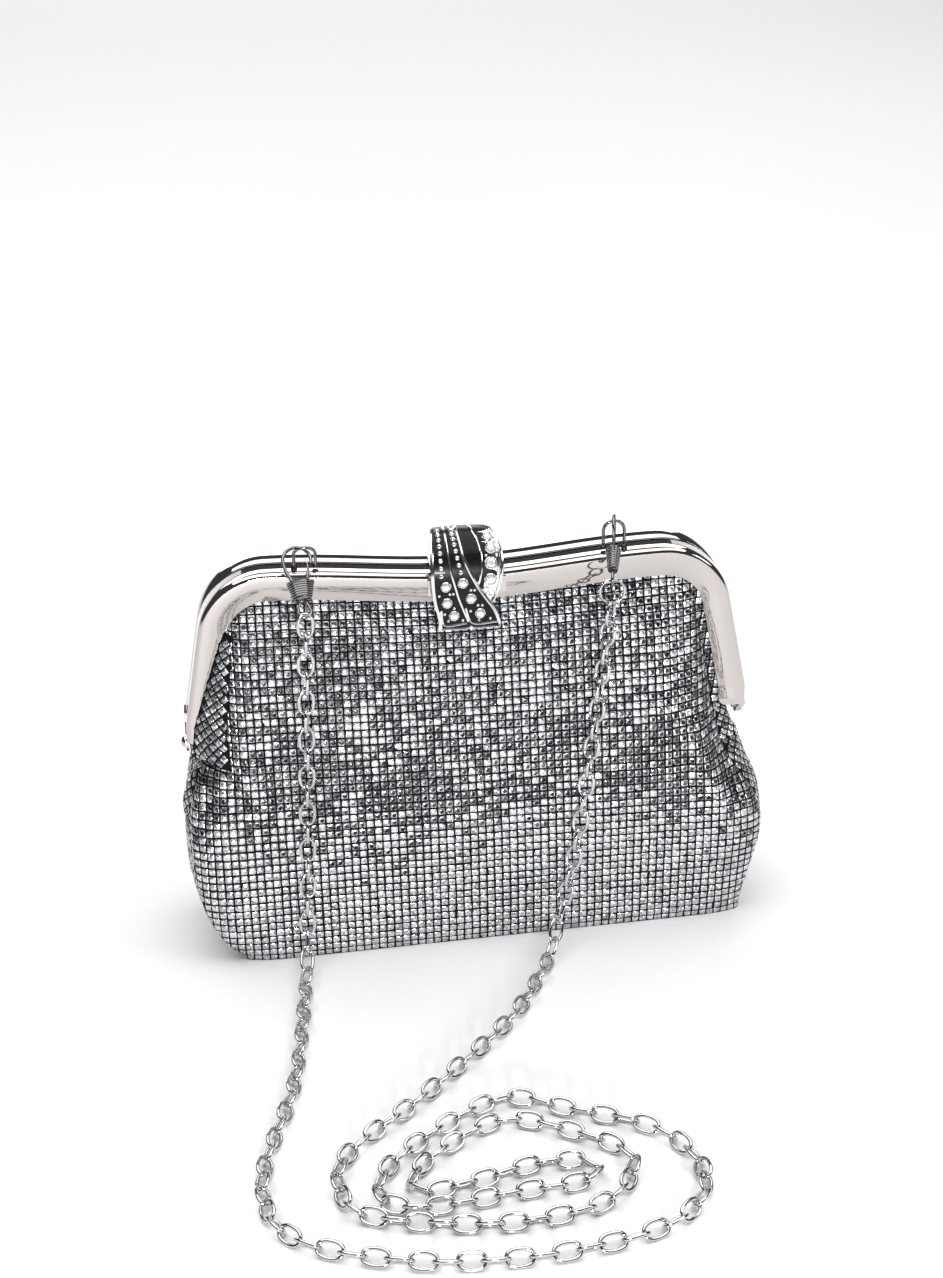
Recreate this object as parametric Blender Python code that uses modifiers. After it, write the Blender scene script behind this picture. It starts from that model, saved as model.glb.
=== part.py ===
"""Evening bag: a clutch with a two-part metal frame, an ornamental clasp and a chain strap.

Metres, +Z up, +X right, the front faces -Y. The origin is the middle of the base, on the floor.
"""

import math

import bmesh
import bpy
from mathutils import Matrix, Vector

NAME = "evening_bag"
SHARP_ANGLE = math.radians(35)
WELD = 0.00001

# Frame outline, seen from the front: two leaning arms, two round shoulders, a top that dips.
HINGE_Z = 0.079
ARM_END_Z = 0.0832
ARM_BEND_Z = 0.090
ARM_X = 0.1045
ARM_LEAN = math.radians(10)
SHOULDER_X = 0.0725
SHOULDER_R = 0.0255
TOP_Z = 0.148
TOP_DIP = 0.0046
PLATE_WIDTH = 0.0104
PLATE_FRONT = 0.0109
SHEET_METAL = 0.0009
RIM_BACK = 0.0012
RIM_ROUND = 0.0018

# Fabric body
GAP = 0.0003
FABRIC = 0.0006
BASE_THICK = 0.001
BASE_HALF = (0.094, 0.026)
CHANNEL_Y = 0.0093
CHANNEL_INSET = 0.0045
PANEL_HALF_TOP = 0.098
PANEL_COLUMNS = 20
FOLD_LOW_Z = 0.066
FOLD_HIGH_Z = 0.099
GUSSET_LOW_TOP_Z = 0.0665
GUSSET_FOLD_Z = (0.0670, 0.118)
FOLD_HALF_Y = 0.0050
FOLD_IN = (0.002, 0.016)
LINING_BEHIND = 0.003
TUB_SQUARE = 5
TUB_HEIGHTS = (0.0038, 0.008, 0.020, 0.035, 0.050, 0.065)
POCKET_HALF_WIDTH = 0.045
POCKET_Z = (0.072, 0.116)
POCKET_BEHIND = 0.0052
BOARD_HALF_THICK = 0.0009

# The body's section as (height, value): how far it stands out at the middle, half its width,
# and the share of its depth that its side seams keep.
HALF_DEPTHS = (
    (0.0, 0.026),
    (0.014, 0.0285),
    (0.036, 0.0295),
    (0.058, 0.0275),
    (0.079, 0.024),
    (0.110, 0.018),
    (0.136, 0.0105),
)
HALF_WIDTHS = (
    (0.0, 0.094),
    (0.018, 0.1005),
    (0.040, 0.1035),
    (0.060, 0.1015),
    (0.080, PANEL_HALF_TOP),
)
SIDE_SHARES = ((0.0, 0.90), (0.040, 0.80), (0.079, 0.46))
GUSSET_BULGES = ((0.0, 0.0012), (0.040, 0.0052), (GUSSET_LOW_TOP_Z, 0.0022))

# Hinges
EAR_R = 0.0036
EAR_HOLE_R = 0.00135
EAR_HALF_THICK = 0.0005
EAR_INNER_X = (0.1028, 0.1042)
RIVET_HALF_WAY = 0.1045

# Clasp, in the plane that cuts the bag front to back
CLASP_HALF_WIDTH = 0.0133
CLASP_THICK = 0.0022
CLASP_FACE_Y = -0.016
CLASP_FOOT_Z = 0.124
CLASP_ARCH_Z = 0.143
CLASP_ARCH_R = 0.0145
CLASP_ARCH_END = math.radians(48)
PIN_Y = 0.007
PIN_Z = 0.1492
PIN_R = 0.0009
KNUCKLE_R = 0.0021
KNUCKLE_BORE_R = 0.00115

# Strap fittings
BAIL_X = (-0.0577, 0.0548)
BAIL_LEAN = (math.radians(29), math.radians(5))
BAIL_FOOT_Y = -0.005
BAIL_FOOT_LIFT = 0.0006
BAIL_HALF_WIDTH = 0.00385
BAIL_HEIGHT = 0.0104
WIRE_R = 0.0006
HOOK_SLOPE = math.radians(42)
HOOK_WIRE_R = 0.00065
HOOK_LOOP_R = 0.005
HOOK_LOOP_Z = 0.0169
COLLAR_LENGTH = 0.0086
COLLAR_FLATNESS = 0.55
EYE_R = 0.0024
EYE_WIRE_R = 0.00055
JUMP_R = 0.0045
JUMP_WIRE_R = 0.0005
CHAIN_R = 0.0033
CHAIN_LIE_Z = 0.0034
CHAIN_POINTS = 80

# The chain's route, from the left hook to the right hook.
CHAIN_ROUTE = [
    (-0.0593, -0.0282, 0.1371),
    (-0.0640, -0.0336, 0.0340),
    (-0.0655, -0.0375, 0.0120),
    (-0.0670, -0.0500, CHAIN_LIE_Z),
    (-0.0740, -0.1120, CHAIN_LIE_Z),
    (-0.0870, -0.1680, CHAIN_LIE_Z),
    (-0.0800, -0.1910, CHAIN_LIE_Z),
    (-0.0440, -0.2080, CHAIN_LIE_Z),
    (0.0040, -0.2110, CHAIN_LIE_Z),
    (0.0420, -0.2000, CHAIN_LIE_Z),
    (0.0530, -0.1820, CHAIN_LIE_Z),
    (0.0440, -0.1570, CHAIN_LIE_Z),
    (0.0140, -0.1400, CHAIN_LIE_Z),
    (-0.0030, -0.1315, CHAIN_LIE_Z),
    (-0.0280, -0.1450, CHAIN_LIE_Z),
    (-0.0480, -0.1650, CHAIN_LIE_Z),
    (-0.0500, -0.1790, CHAIN_LIE_Z),
    (-0.0380, -0.1840, CHAIN_LIE_Z),
    (-0.0050, -0.1805, CHAIN_LIE_Z),
    (0.0170, -0.1775, CHAIN_LIE_Z),
    (0.0205, -0.1695, CHAIN_LIE_Z),
    (0.0040, -0.1675, CHAIN_LIE_Z),
    (-0.0200, -0.1740, CHAIN_LIE_Z),
    (-0.0390, -0.1765, CHAIN_LIE_Z),
    (-0.0390, -0.1680, CHAIN_LIE_Z),
    (-0.0220, -0.1510, CHAIN_LIE_Z),
    (-0.0050, -0.1435, CHAIN_LIE_Z),
    (0.0150, -0.1530, CHAIN_LIE_Z),
    (0.0320, -0.1690, CHAIN_LIE_Z),
    (0.0220, -0.1880, CHAIN_LIE_Z),
    (-0.0020, -0.1950, CHAIN_LIE_Z),
    (-0.0350, -0.1920, CHAIN_LIE_Z),
    (-0.0590, -0.1820, CHAIN_LIE_Z),
    (-0.0620, -0.1600, CHAIN_LIE_Z),
    (-0.0300, -0.1250, CHAIN_LIE_Z),
    (0.0050, -0.0840, CHAIN_LIE_Z),
    (0.0230, -0.0500, CHAIN_LIE_Z),
    (0.0290, -0.0380, 0.0140),
    (0.0360, -0.0336, 0.0400),
    (0.0511, -0.0231, 0.1326),
]

# Stones on the clasp: distance from its middle, height of the seat above the clasp's foot
# measured along the outer surface, and radius.
STONES = [
    (-0.0081, 0.0168, 0.0013),
    (-0.0078, 0.0105, 0.0013),
    (-0.0054, 0.0054, 0.0013),
    (-0.0019, 0.0179, 0.0013),
    (0.0009, 0.0117, 0.0013),
    (0.0041, 0.0058, 0.0013),
    (0.0081, 0.0350, 0.0013),
    (0.0088, 0.0302, 0.0013),
    (0.0085, 0.0248, 0.0017),
    (0.0081, 0.0189, 0.0017),
    (0.0063, 0.0148, 0.0010),
]


# ---------------------------------------------------------------- scene and materials


def clear_scene():
    for old in list(bpy.data.objects):
        bpy.data.objects.remove(old, do_unlink=True)


def new_collection(name):
    made = bpy.data.collections.new(name)
    bpy.context.scene.collection.children.link(made)
    return made


def material(name, colour, roughness, metallic):
    made = bpy.data.materials.get(name)
    if made:
        return made
    made = bpy.data.materials.new(name)
    made.use_nodes = True
    shader = made.node_tree.nodes["Principled BSDF"]
    shader.inputs["Base Color"].default_value = (*colour, 1)
    shader.inputs["Roughness"].default_value = roughness
    shader.inputs["Metallic"].default_value = metallic
    return made


def polished_metal():
    return material("polished_metal", (0.80, 0.77, 0.76), 0.08, 1.0)


def bright_wire():
    return material("bright_wire", (0.82, 0.82, 0.83), 0.14, 1.0)


def antique_silver():
    return material("antique_silver", (0.45, 0.45, 0.46), 0.25, 1.0)


def crystal():
    return material("crystal", (0.92, 0.94, 0.97), 0.05, 0.0)


def glitter_fabric():
    return material("glitter_fabric", (0.35, 0.36, 0.38), 0.45, 0.3)


def lining_cloth():
    return material("lining_cloth", (0.02, 0.02, 0.025), 0.7, 0.0)


def grey_board():
    return material("grey_board", (0.30, 0.29, 0.27), 0.85, 0.0)


def add(name, data, finish):
    """A part: an object in the bag's collection, with its own material."""
    made = bpy.data.objects.new(name, data)
    PARTS.objects.link(made)
    made.data.materials.clear()
    made.data.materials.append(finish)
    return made


def add_cutter(name, data):
    made = bpy.data.objects.new(name, data)
    CUTTERS.objects.link(made)
    made.hide_render = True
    made.display_type = "WIRE"
    return made


def finished_mesh(name, work):
    """A mesh from a bmesh, which is then freed."""
    data = bpy.data.meshes.new(name)
    work.to_mesh(data)
    work.free()
    return data


def smooth_shaded(data):
    """Smooth shading, with the edges sharper than SHARP_ANGLE kept sharp."""
    data.shade_smooth()
    data.set_sharp_from_angle(angle=SHARP_ANGLE)
    return data


def cylinder(name, radius, length, sides=24):
    work = bmesh.new()
    bmesh.ops.create_cone(
        work, cap_ends=True, segments=sides, radius1=radius, radius2=radius, depth=length
    )
    return smooth_shaded(finished_mesh(name, work))


def box_mesh(name, low, high):
    size = Vector(high) - Vector(low)
    middle = (Vector(high) + Vector(low)) / 2
    placing = Matrix.Translation(middle) @ Matrix.Diagonal((*size, 1))
    work = bmesh.new()
    bmesh.ops.create_cube(work, size=1, matrix=placing)
    return finished_mesh(name, work)


def boolean(target, cutter, operation):
    step = target.modifiers.new(cutter.name, "BOOLEAN")
    step.operation = operation
    step.object = cutter
    step.solver = "EXACT"


def wire_curve(name, points, radius, resolution=2, cyclic=False):
    """A round wire through the points."""
    data = bpy.data.curves.new(name, "CURVE")
    data.dimensions = "3D"
    spline = data.splines.new("POLY")
    spline.points.add(len(points) - 1)
    for slot, point in zip(spline.points, points):
        slot.co = (*point, 1)
    spline.use_cyclic_u = cyclic
    data.bevel_depth = radius
    data.bevel_resolution = resolution
    data.use_fill_caps = not cyclic
    return data


def flat_outline(name, points, half_thickness, holes=()):
    """A flat plate from a closed outline in its own XY plane, with round holes."""
    data = bpy.data.curves.new(name, "CURVE")
    data.dimensions = "2D"
    data.fill_mode = "BOTH"
    data.extrude = half_thickness
    outlines = [points] + [arc(centre, radius, 0, 360, 20)[:-1] for centre, radius in holes]
    for outline in outlines:
        spline = data.splines.new("POLY")
        spline.points.add(len(outline) - 1)
        spline.use_cyclic_u = True
        for slot, (u, v) in zip(spline.points, outline):
            slot.co = (u, v, 0, 1)
    return data


def to_mesh(curve_object, name):
    """The curve's evaluated shape as a mesh with its caps welded on."""
    bpy.context.view_layer.update()
    graph = bpy.context.evaluated_depsgraph_get()
    data = bpy.data.meshes.new_from_object(curve_object.evaluated_get(graph))
    data.name = name
    work = bmesh.new()
    work.from_mesh(data)
    bmesh.ops.remove_doubles(work, verts=work.verts, dist=WELD)
    bmesh.ops.recalc_face_normals(work, faces=work.faces)
    work.to_mesh(data)
    work.free()
    return smooth_shaded(data)


def cut_ready(name, curve_data, placing, finish=None):
    """A curve turned into a mesh object: a part if it has a finish, a cutter if not."""
    guide = bpy.data.objects.new(name + "_curve", curve_data)
    CUTTERS.objects.link(guide)
    guide.matrix_world = placing
    data = to_mesh(guide, name)
    made = add(name, data, finish) if finish else add_cutter(name, data)
    made.matrix_world = guide.matrix_world
    bpy.data.objects.remove(guide, do_unlink=True)
    return made


def turned(name, profile, finish, steps=20):
    """A turned piece: the profile runs down its outer side, from top to bottom."""
    work = bmesh.new()
    points = [work.verts.new((radius, 0, height)) for radius, height in profile]
    for first, second in zip(points, points[1:]):
        work.edges.new((first, second))
    made = add(name, finished_mesh(name, work), finish)
    spin = made.modifiers.new("turn", "SCREW")
    spin.axis = "Z"
    spin.angle = math.tau
    spin.steps = steps
    spin.render_steps = steps
    spin.use_merge_vertices = True
    spin.merge_threshold = WELD
    spin.use_smooth_shade = True
    return made


def ring(name, radius, wire, finish, placing):
    """A closed round wire ring, facing its own Z axis."""
    loop = [(radius * math.cos(a), radius * math.sin(a), 0) for a in angles(0, 360, 20)[:-1]]
    made = add(name, wire_curve(name, loop, wire, cyclic=True), finish)
    made.matrix_world = placing
    return made


# ---------------------------------------------------------------- geometry helpers


def angles(start, end, count):
    """Angles in radians, from start to end in degrees, in equal steps."""
    return [math.radians(start + (end - start) * i / count) for i in range(count + 1)]


def arc(centre, radius, start, end, count):
    u, v = centre
    turns = angles(start, end, count)
    return [(u + radius * math.cos(a), v + radius * math.sin(a)) for a in turns]


def smooth(t):
    t = min(max(t, 0.0), 1.0)
    return t * t * (3 - 2 * t)


def between(z, knots):
    """A smooth value at height z, through (height, value) knots in rising order."""
    if z <= knots[0][0]:
        return knots[0][1]
    for (z0, v0), (z1, v1) in zip(knots, knots[1:]):
        if z <= z1:
            return v0 + (v1 - v0) * smooth((z - z0) / (z1 - z0))
    return knots[-1][1]


def smooth_route(points, count):
    """Evenly spaced points on a centripetal Catmull-Rom curve through the given points."""
    knots = [Vector(p) for p in points]
    knots = [2 * knots[0] - knots[1]] + knots + [2 * knots[-1] - knots[-2]]
    dense = []
    for p0, p1, p2, p3 in zip(knots, knots[1:], knots[2:], knots[3:]):
        t1 = (p1 - p0).length ** 0.5
        t2 = t1 + (p2 - p1).length ** 0.5
        t3 = t2 + (p3 - p2).length ** 0.5
        for i in range(24):
            t = t1 + (t2 - t1) * i / 24
            a1 = p0 * ((t1 - t) / t1) + p1 * (t / t1)
            a2 = p1 * ((t2 - t) / (t2 - t1)) + p2 * ((t - t1) / (t2 - t1))
            a3 = p2 * ((t3 - t) / (t3 - t2)) + p3 * ((t - t2) / (t3 - t2))
            b1 = a1 * ((t2 - t) / t2) + a2 * (t / t2)
            b2 = a2 * ((t3 - t) / (t3 - t1)) + a3 * ((t - t1) / (t3 - t1))
            dense.append(b1 * ((t2 - t) / (t2 - t1)) + b2 * ((t - t1) / (t2 - t1)))
    dense.append(knots[-2])
    travelled = [0.0]
    for a, b in zip(dense, dense[1:]):
        travelled.append(travelled[-1] + (b - a).length)
    even = []
    j = 0
    for i in range(count):
        goal = travelled[-1] * i / (count - 1)
        while j < len(dense) - 2 and travelled[j + 1] < goal:
            j += 1
        span = travelled[j + 1] - travelled[j]
        even.append(dense[j].lerp(dense[j + 1], (goal - travelled[j]) / span))
    return even


def top_height(x):
    """Height of the frame's outer edge along its top, which dips in the middle."""
    return TOP_Z - TOP_DIP * (1 - smooth(abs(x) / SHOULDER_X))


def frame_path(inset=0.0):
    """The frame's outer edge from the left arm's foot to the right arm's, as (x, z) points."""
    radius = SHOULDER_R - inset
    shoulder = (SHOULDER_X, TOP_Z - SHOULDER_R)
    right = [(x, top_height(x) - inset) for x in (SHOULDER_X * i / 10 for i in range(10))]
    right += arc(shoulder, radius, 90, math.degrees(ARM_LEAN), 8)
    right += [(ARM_X - inset, ARM_BEND_Z), (ARM_X - inset, ARM_END_Z)]
    left = [(-x, z) for x, z in reversed(right[1:])]
    return left + right


def edge_height(x, inset):
    """Height of the frame's outline, moved in by inset, above the point x."""
    x = abs(x)
    radius = SHOULDER_R - inset
    arm_top_x = SHOULDER_X + radius * math.cos(ARM_LEAN)
    if x <= SHOULDER_X:
        return top_height(x) - inset
    if x <= arm_top_x:
        return TOP_Z - SHOULDER_R + math.sqrt(radius**2 - (x - SHOULDER_X) ** 2)
    arm_top_z = TOP_Z - SHOULDER_R + radius * math.sin(ARM_LEAN)
    share = (x - arm_top_x) / (ARM_X - inset - arm_top_x)
    return arm_top_z + (ARM_BEND_Z - arm_top_z) * min(share, 1.0)


def half_depth(z):
    """How far the front of the bag stands out at height z."""
    return between(z, HALF_DEPTHS)


def half_width(z):
    """Half the width of the front and rear panels at height z."""
    return between(z, HALF_WIDTHS)


def side_depth(z):
    """How far from the middle the panels' side seams run at height z."""
    return half_depth(z) * between(z, SIDE_SHARES)


def arm_edge(z, inset):
    """Where an arm's outline, moved in by inset, is at height z."""
    return ARM_X - inset - math.tan(ARM_LEAN) * max(z - ARM_BEND_Z, 0.0)


def panel_depth(x, z):
    """Depth of the panel's outer face: in the frame's channel at its edge, standing out below."""
    crown = smooth((half_width(z) - abs(x)) / 0.030)
    free = side_depth(z) + (half_depth(z) - side_depth(z)) * crown
    below_arms = smooth((ARM_END_Z - 0.006 - z) / 0.010)
    if below_arms >= 1:
        return free
    clear = min(edge_height(x, PLATE_WIDTH) - z, arm_edge(z, PLATE_WIDTH) - abs(x))
    if z < ARM_END_Z:
        clear = arm_edge(z, PLATE_WIDTH) - abs(x)
    held = max(smooth((clear - 0.004) / 0.016), below_arms)
    return CHANNEL_Y + (free - CHANNEL_Y) * held


# ---------------------------------------------------------------- frame


def half_frame_section():
    """Plate, round edge and top rim, as (distance out from the outline, depth) points."""
    outer_round = arc((-RIM_ROUND, PLATE_FRONT - RIM_ROUND), RIM_ROUND, 90, 0, 4)
    inner_r = RIM_ROUND - SHEET_METAL
    inner_round = arc((-RIM_ROUND, PLATE_FRONT - RIM_ROUND), inner_r, 0, 90, 3)
    section = [(-PLATE_WIDTH, PLATE_FRONT)] + outer_round + [(0, RIM_BACK), (-SHEET_METAL, RIM_BACK)]
    return section + inner_round + [(-PLATE_WIDTH, PLATE_FRONT - SHEET_METAL)]


def swept_curve(name, section, path):
    """A section swept along a flat path, by a curve whose bevel is the section."""
    outline = bpy.data.curves.new(name + "_section", "CURVE")
    outline.dimensions = "2D"
    spline = outline.splines.new("POLY")
    spline.points.add(len(section) - 1)
    spline.use_cyclic_u = True
    for slot, (inward, depth) in zip(spline.points, section):
        slot.co = (-inward, depth, 0, 1)
    guide = add_cutter(name + "_section", outline)
    data = bpy.data.curves.new(name, "CURVE")
    data.dimensions = "2D"
    run = data.splines.new("POLY")
    run.points.add(len(path) - 1)
    for slot, (x, z) in zip(run.points, path):
        slot.co = (x, z, 0, 1)
    data.bevel_mode = "OBJECT"
    data.bevel_object = guide
    data.use_fill_caps = True
    return data


def standing(facing):
    """Turns a flat curve's plane up: its X stays X, its Y becomes Z, its Z the front or back."""
    if facing < 0:
        return Matrix.Rotation(math.radians(90), 4, "X")
    return Matrix(((1, 0, 0, 0), (0, 0, 1, 0), (0, 1, 0, 0), (0, 0, 0, 1)))


def hinge_ear(name, side, facing, inner_x):
    """A hinge ear: a flat tongue across the joint's axis, round at its foot, with a rivet hole."""
    foot = (0.0, HINGE_Z)
    outline = arc(foot, EAR_R, -150, 40, 12)
    outline += [(0.0012, 0.0826), (-0.0016, 0.0868), (-0.0016, ARM_BEND_Z)]
    outline += [(-0.0088, ARM_BEND_Z), (-0.0086, 0.084)]
    data = flat_outline(name, outline, EAR_HALF_THICK, holes=[(foot, EAR_HOLE_R)])
    middle_x = side * (inner_x + EAR_HALF_THICK)
    depth_axis = Vector((0, -facing, 0))
    placing = Matrix.Translation((middle_x, 0, 0)) @ Matrix(
        ((0, 0, 1, 0), (depth_axis.y, 0, 0, 0), (0, 1, 0, 0), (0, 0, 0, 1))
    )
    return cut_ready(name, data, placing)


def half_frame(name, facing):
    """One half of the frame, with its two hinge ears. facing is -1 for the front, 1 for the rear."""
    curve = swept_curve(name, half_frame_section(), frame_path())
    made = cut_ready(name, curve, standing(facing), polished_metal())
    inner_x = EAR_INNER_X[0] if facing < 0 else EAR_INNER_X[1]
    for side, word in ((-1, "left"), (1, "right")):
        boolean(made, hinge_ear(f"{name}_{word}_ear", side, facing, inner_x), "UNION")
    return made


def crimp_strip(name, facing):
    """The strip that clamps the fabric's edge inside the channel of a half frame."""
    section = [(-0.0096, 0.0084), (-0.0022, 0.0084), (-0.0022, 0.0079), (-0.0096, 0.0079)]
    curve = swept_curve(name, section, frame_path()[1:-1])
    return cut_ready(name, curve, standing(facing), polished_metal())


def hinge_rivet(name, side):
    """A domed rivet through both ears, its axis along X."""
    dome = [(0.0, 0.0026), (0.0009, 0.0025), (0.0018, 0.0020), (0.0023, 0.0010)]
    shank = [(0.0011, 0.0010), (0.0011, -0.0021)]
    tail = [(0.0020, -0.0021), (0.0020, -0.0030), (0.0, -0.0030)]
    made = turned(name, dome + shank + tail, polished_metal(), steps=16)
    turn = Matrix.Rotation(math.radians(90 * side), 4, "Y")
    made.matrix_world = Matrix.Translation((side * RIVET_HALF_WAY, 0, HINGE_Z)) @ turn
    return made


# ---------------------------------------------------------------- clasp


def clasp_point(run):
    """Point and outward normal on the clasp's outer surface, run metres up from its foot."""
    straight = CLASP_ARCH_Z - CLASP_FOOT_Z
    if run <= straight:
        return (CLASP_FACE_Y, CLASP_FOOT_Z + run), (-1.0, 0.0)
    a = math.pi - (run - straight) / CLASP_ARCH_R
    centre = (CLASP_FACE_Y + CLASP_ARCH_R, CLASP_ARCH_Z)
    normal = (math.cos(a), math.sin(a))
    return (centre[0] + CLASP_ARCH_R * normal[0], centre[1] + CLASP_ARCH_R * normal[1]), normal


def across(name, outline, half_width, finish=None, holes=()):
    """A plate whose outline lies in the YZ plane, standing half_width to each side of the middle."""
    placing = Matrix(((0, 0, 1, 0), (1, 0, 0, 0), (0, 1, 0, 0), (0, 0, 0, 1)))
    return cut_ready(name, flat_outline(name, outline, half_width, holes), placing, finish)


def along_x(name, radius, length, place):
    """A cylinder along X, as a cutter."""
    made = add_cutter(name, cylinder(name, radius, length))
    made.matrix_world = Matrix.Translation(place) @ Matrix.Rotation(math.radians(90), 4, "Y")
    return made


def clasp_flap():
    """The ornament: a bent plate over the top of the frame, with a knuckle for its pin."""
    centre = (CLASP_FACE_Y + CLASP_ARCH_R, CLASP_ARCH_Z)
    end = math.degrees(CLASP_ARCH_END)
    outline = [(CLASP_FACE_Y, CLASP_FOOT_Z)] + arc(centre, CLASP_ARCH_R, 180, end, 14)
    outline += arc(centre, CLASP_ARCH_R - CLASP_THICK, end, 180, 14)
    outline += [(CLASP_FACE_Y + CLASP_THICK, CLASP_FOOT_Z)]
    made = across("clasp_flap", outline, CLASP_HALF_WIDTH, antique_silver())
    barrel = along_x("clasp_barrel", KNUCKLE_R, 0.0152, (0, PIN_Y, PIN_Z))
    web_low = (-0.0072, PIN_Y - 0.0012, PIN_Z + 0.001)
    web_high = (0.0072, PIN_Y + 0.0008, PIN_Z + 0.004)
    web = add_cutter("clasp_web", box_mesh("clasp_web", web_low, web_high))
    bore = along_x("clasp_bore", KNUCKLE_BORE_R, 0.018, (0, PIN_Y, PIN_Z))
    boolean(made, barrel, "UNION")
    boolean(made, web, "UNION")
    boolean(made, bore, "DIFFERENCE")
    return made


def clasp_bracket():
    """The plate over the frame's top that carries the clasp between two ears."""
    plate = box_mesh("clasp_bracket", (-0.0125, -0.0086, 0.1442), (0.0125, 0.0092, 0.1452))
    made = add("clasp_bracket", plate, polished_metal())
    for side, word in ((-1, "left"), (1, "right")):
        ear = [(PIN_Y + KNUCKLE_R, 0.1448)]
        ear += arc((PIN_Y, PIN_Z), KNUCKLE_R, 0, 180, 10)
        ear += [(PIN_Y - 0.0034, 0.1448)]
        cutter = across(f"bracket_{word}_ear", ear, 0.0010)
        cutter.location.x = side * 0.0090
        boolean(made, cutter, "UNION")
    boolean(made, along_x("bracket_bore", KNUCKLE_BORE_R, 0.024, (0, PIN_Y, PIN_Z)), "DIFFERENCE")
    return made


def clasp_pin():
    made = add("clasp_pin", cylinder("clasp_pin", PIN_R, 0.0224, 16), bright_wire())
    made.matrix_world = Matrix.Translation((0, PIN_Y, PIN_Z)) @ Matrix.Rotation(math.radians(90), 4, "Y")
    return made


def clasp_catch():
    """The catch on the front plate: a thin plate and the stud that the flap snaps over."""
    plate = box_mesh("clasp_catch", (-0.0142, -0.0119, 0.1362), (0.0142, -0.0112, 0.1420))
    made = add("clasp_catch", plate, polished_metal())
    stud = box_mesh("catch_stud", (-0.0040, -0.0134, 0.1370), (0.0040, -0.0115, 0.1400))
    boolean(made, add_cutter("catch_stud", stud), "UNION")
    return made


def rhinestone(number, x, run, radius):
    """A cut stone: a flat table, a crown and a straight girdle, seated on the clasp's surface."""
    (y, z), (ny, nz) = clasp_point(run)
    table = radius * 0.55
    profile = [(0.0, 0.0010), (table, 0.0010), (radius, 0.0005), (radius, 0.0), (0.0, 0.0)]
    made = turned(f"rhinestone_{number:02d}", profile, crystal(), steps=8)
    out = Vector((0, ny, nz))
    sideways = Vector((1, 0, 0))
    turn = Matrix((sideways, out.cross(sideways), out)).transposed().to_4x4()
    lift = 0.0003
    made.matrix_world = Matrix.Translation((x, y + ny * lift, z + nz * lift)) @ turn
    return made


# ---------------------------------------------------------------- strap fittings


def bail(name, index):
    """A wire loop that stands on the front rim, with feet turned out along it."""
    lean = BAIL_LEAN[index]
    top = arc((0, BAIL_HEIGHT - BAIL_HALF_WIDTH), BAIL_HALF_WIDTH, 180, 0, 10)
    flat = [(-BAIL_HALF_WIDTH, 0.0016)] + top + [(BAIL_HALF_WIDTH, 0.0016)]
    points = [(u, -v * math.sin(lean), v * math.cos(lean)) for u, v in flat]
    points = [(-BAIL_HALF_WIDTH, 0.0, 0.0)] + points + [(BAIL_HALF_WIDTH, 0.0, 0.0)]
    made = add(name, wire_curve(name, points, WIRE_R), bright_wire())
    x = BAIL_X[index]
    made.location = (x, BAIL_FOOT_Y, top_height(x) + BAIL_FOOT_LIFT)
    return made


def hook_place(index):
    """Matrix of a hook: its own Z runs up its length, its own X across its loop."""
    lean = BAIL_LEAN[index]
    up = Vector((0, math.cos(HOOK_SLOPE), math.sin(HOOK_SLOPE)))
    wide = Vector((1, 0, 0))
    if index == 0:
        turn = Matrix.Rotation(math.radians(5), 3, "Z")
        across_bail = -0.0035
        rise = BAIL_HEIGHT - BAIL_HALF_WIDTH + 0.0016
        centre_shift = 0.0004
    else:
        turn = Matrix.Rotation(math.radians(-12), 3, "Z")
        wide = Vector((0, -math.sin(HOOK_SLOPE), math.cos(HOOK_SLOPE)))
        across_bail = 0.0
        rise = BAIL_HEIGHT
        centre_shift = 0.0
    up = turn @ up
    wide = turn @ wide
    x = BAIL_X[index] + across_bail
    hung_y = BAIL_FOOT_Y - rise * math.sin(lean)
    hung_z = top_height(x) + BAIL_FOOT_LIFT + rise * math.cos(lean)
    top = Vector((x, hung_y, hung_z)) + up * (HOOK_WIRE_R + WIRE_R + GAP) + wide * centre_shift
    start = top - up * (HOOK_LOOP_Z + HOOK_LOOP_R)
    axes = Matrix((wide, up.cross(wide), up)).transposed().to_4x4()
    return Matrix.Translation(start) @ axes


def hook_wire(name, place):
    """The bent wire: a straight back, a round head and a nose that ends at the gate."""
    points = [(-0.0027, 0, 0.0089), (-0.0044, 0, 0.0125)]
    points += [(u, 0, v) for u, v in arc((0, HOOK_LOOP_Z), HOOK_LOOP_R, 186, -20, 14)]
    made = add(name, wire_curve(name, points, HOOK_WIRE_R), bright_wire())
    made.matrix_world = place
    return made


def hook_gate(name, place):
    """The spring gate: a wire that turns in about its foot. The object's origin is on that axis."""
    points = [(0, 0, 0), (0.0007, 0, 0.0035), (0.0008, 0, 0.0066)]
    made = add(name, wire_curve(name, points, 0.0005), bright_wire())
    made.matrix_world = place @ Matrix.Translation((0.0027, 0, 0.0093))
    return made


def hook_collar(name, place):
    """The tapered spring coil below the loop, flattened, with one rib for each turn."""
    top_r = 0.0041
    foot_r = 0.0027
    turns = 8
    profile = [(0.0, COLLAR_LENGTH)]
    for i in range(turns):
        for share, rib in ((0.08, 0.0), (0.5, 0.00025), (0.92, 0.0)):
            height = COLLAR_LENGTH * (1 - (i + share) / turns)
            profile.append((foot_r + (top_r - foot_r) * height / COLLAR_LENGTH + rib, height))
    profile += [(foot_r - 0.0002, 0.0), (0.0, 0.0)]
    made = turned(name, profile, bright_wire(), steps=14)
    made.matrix_world = place @ Matrix.Diagonal((1, COLLAR_FLATNESS, 1, 1))
    return made


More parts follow.
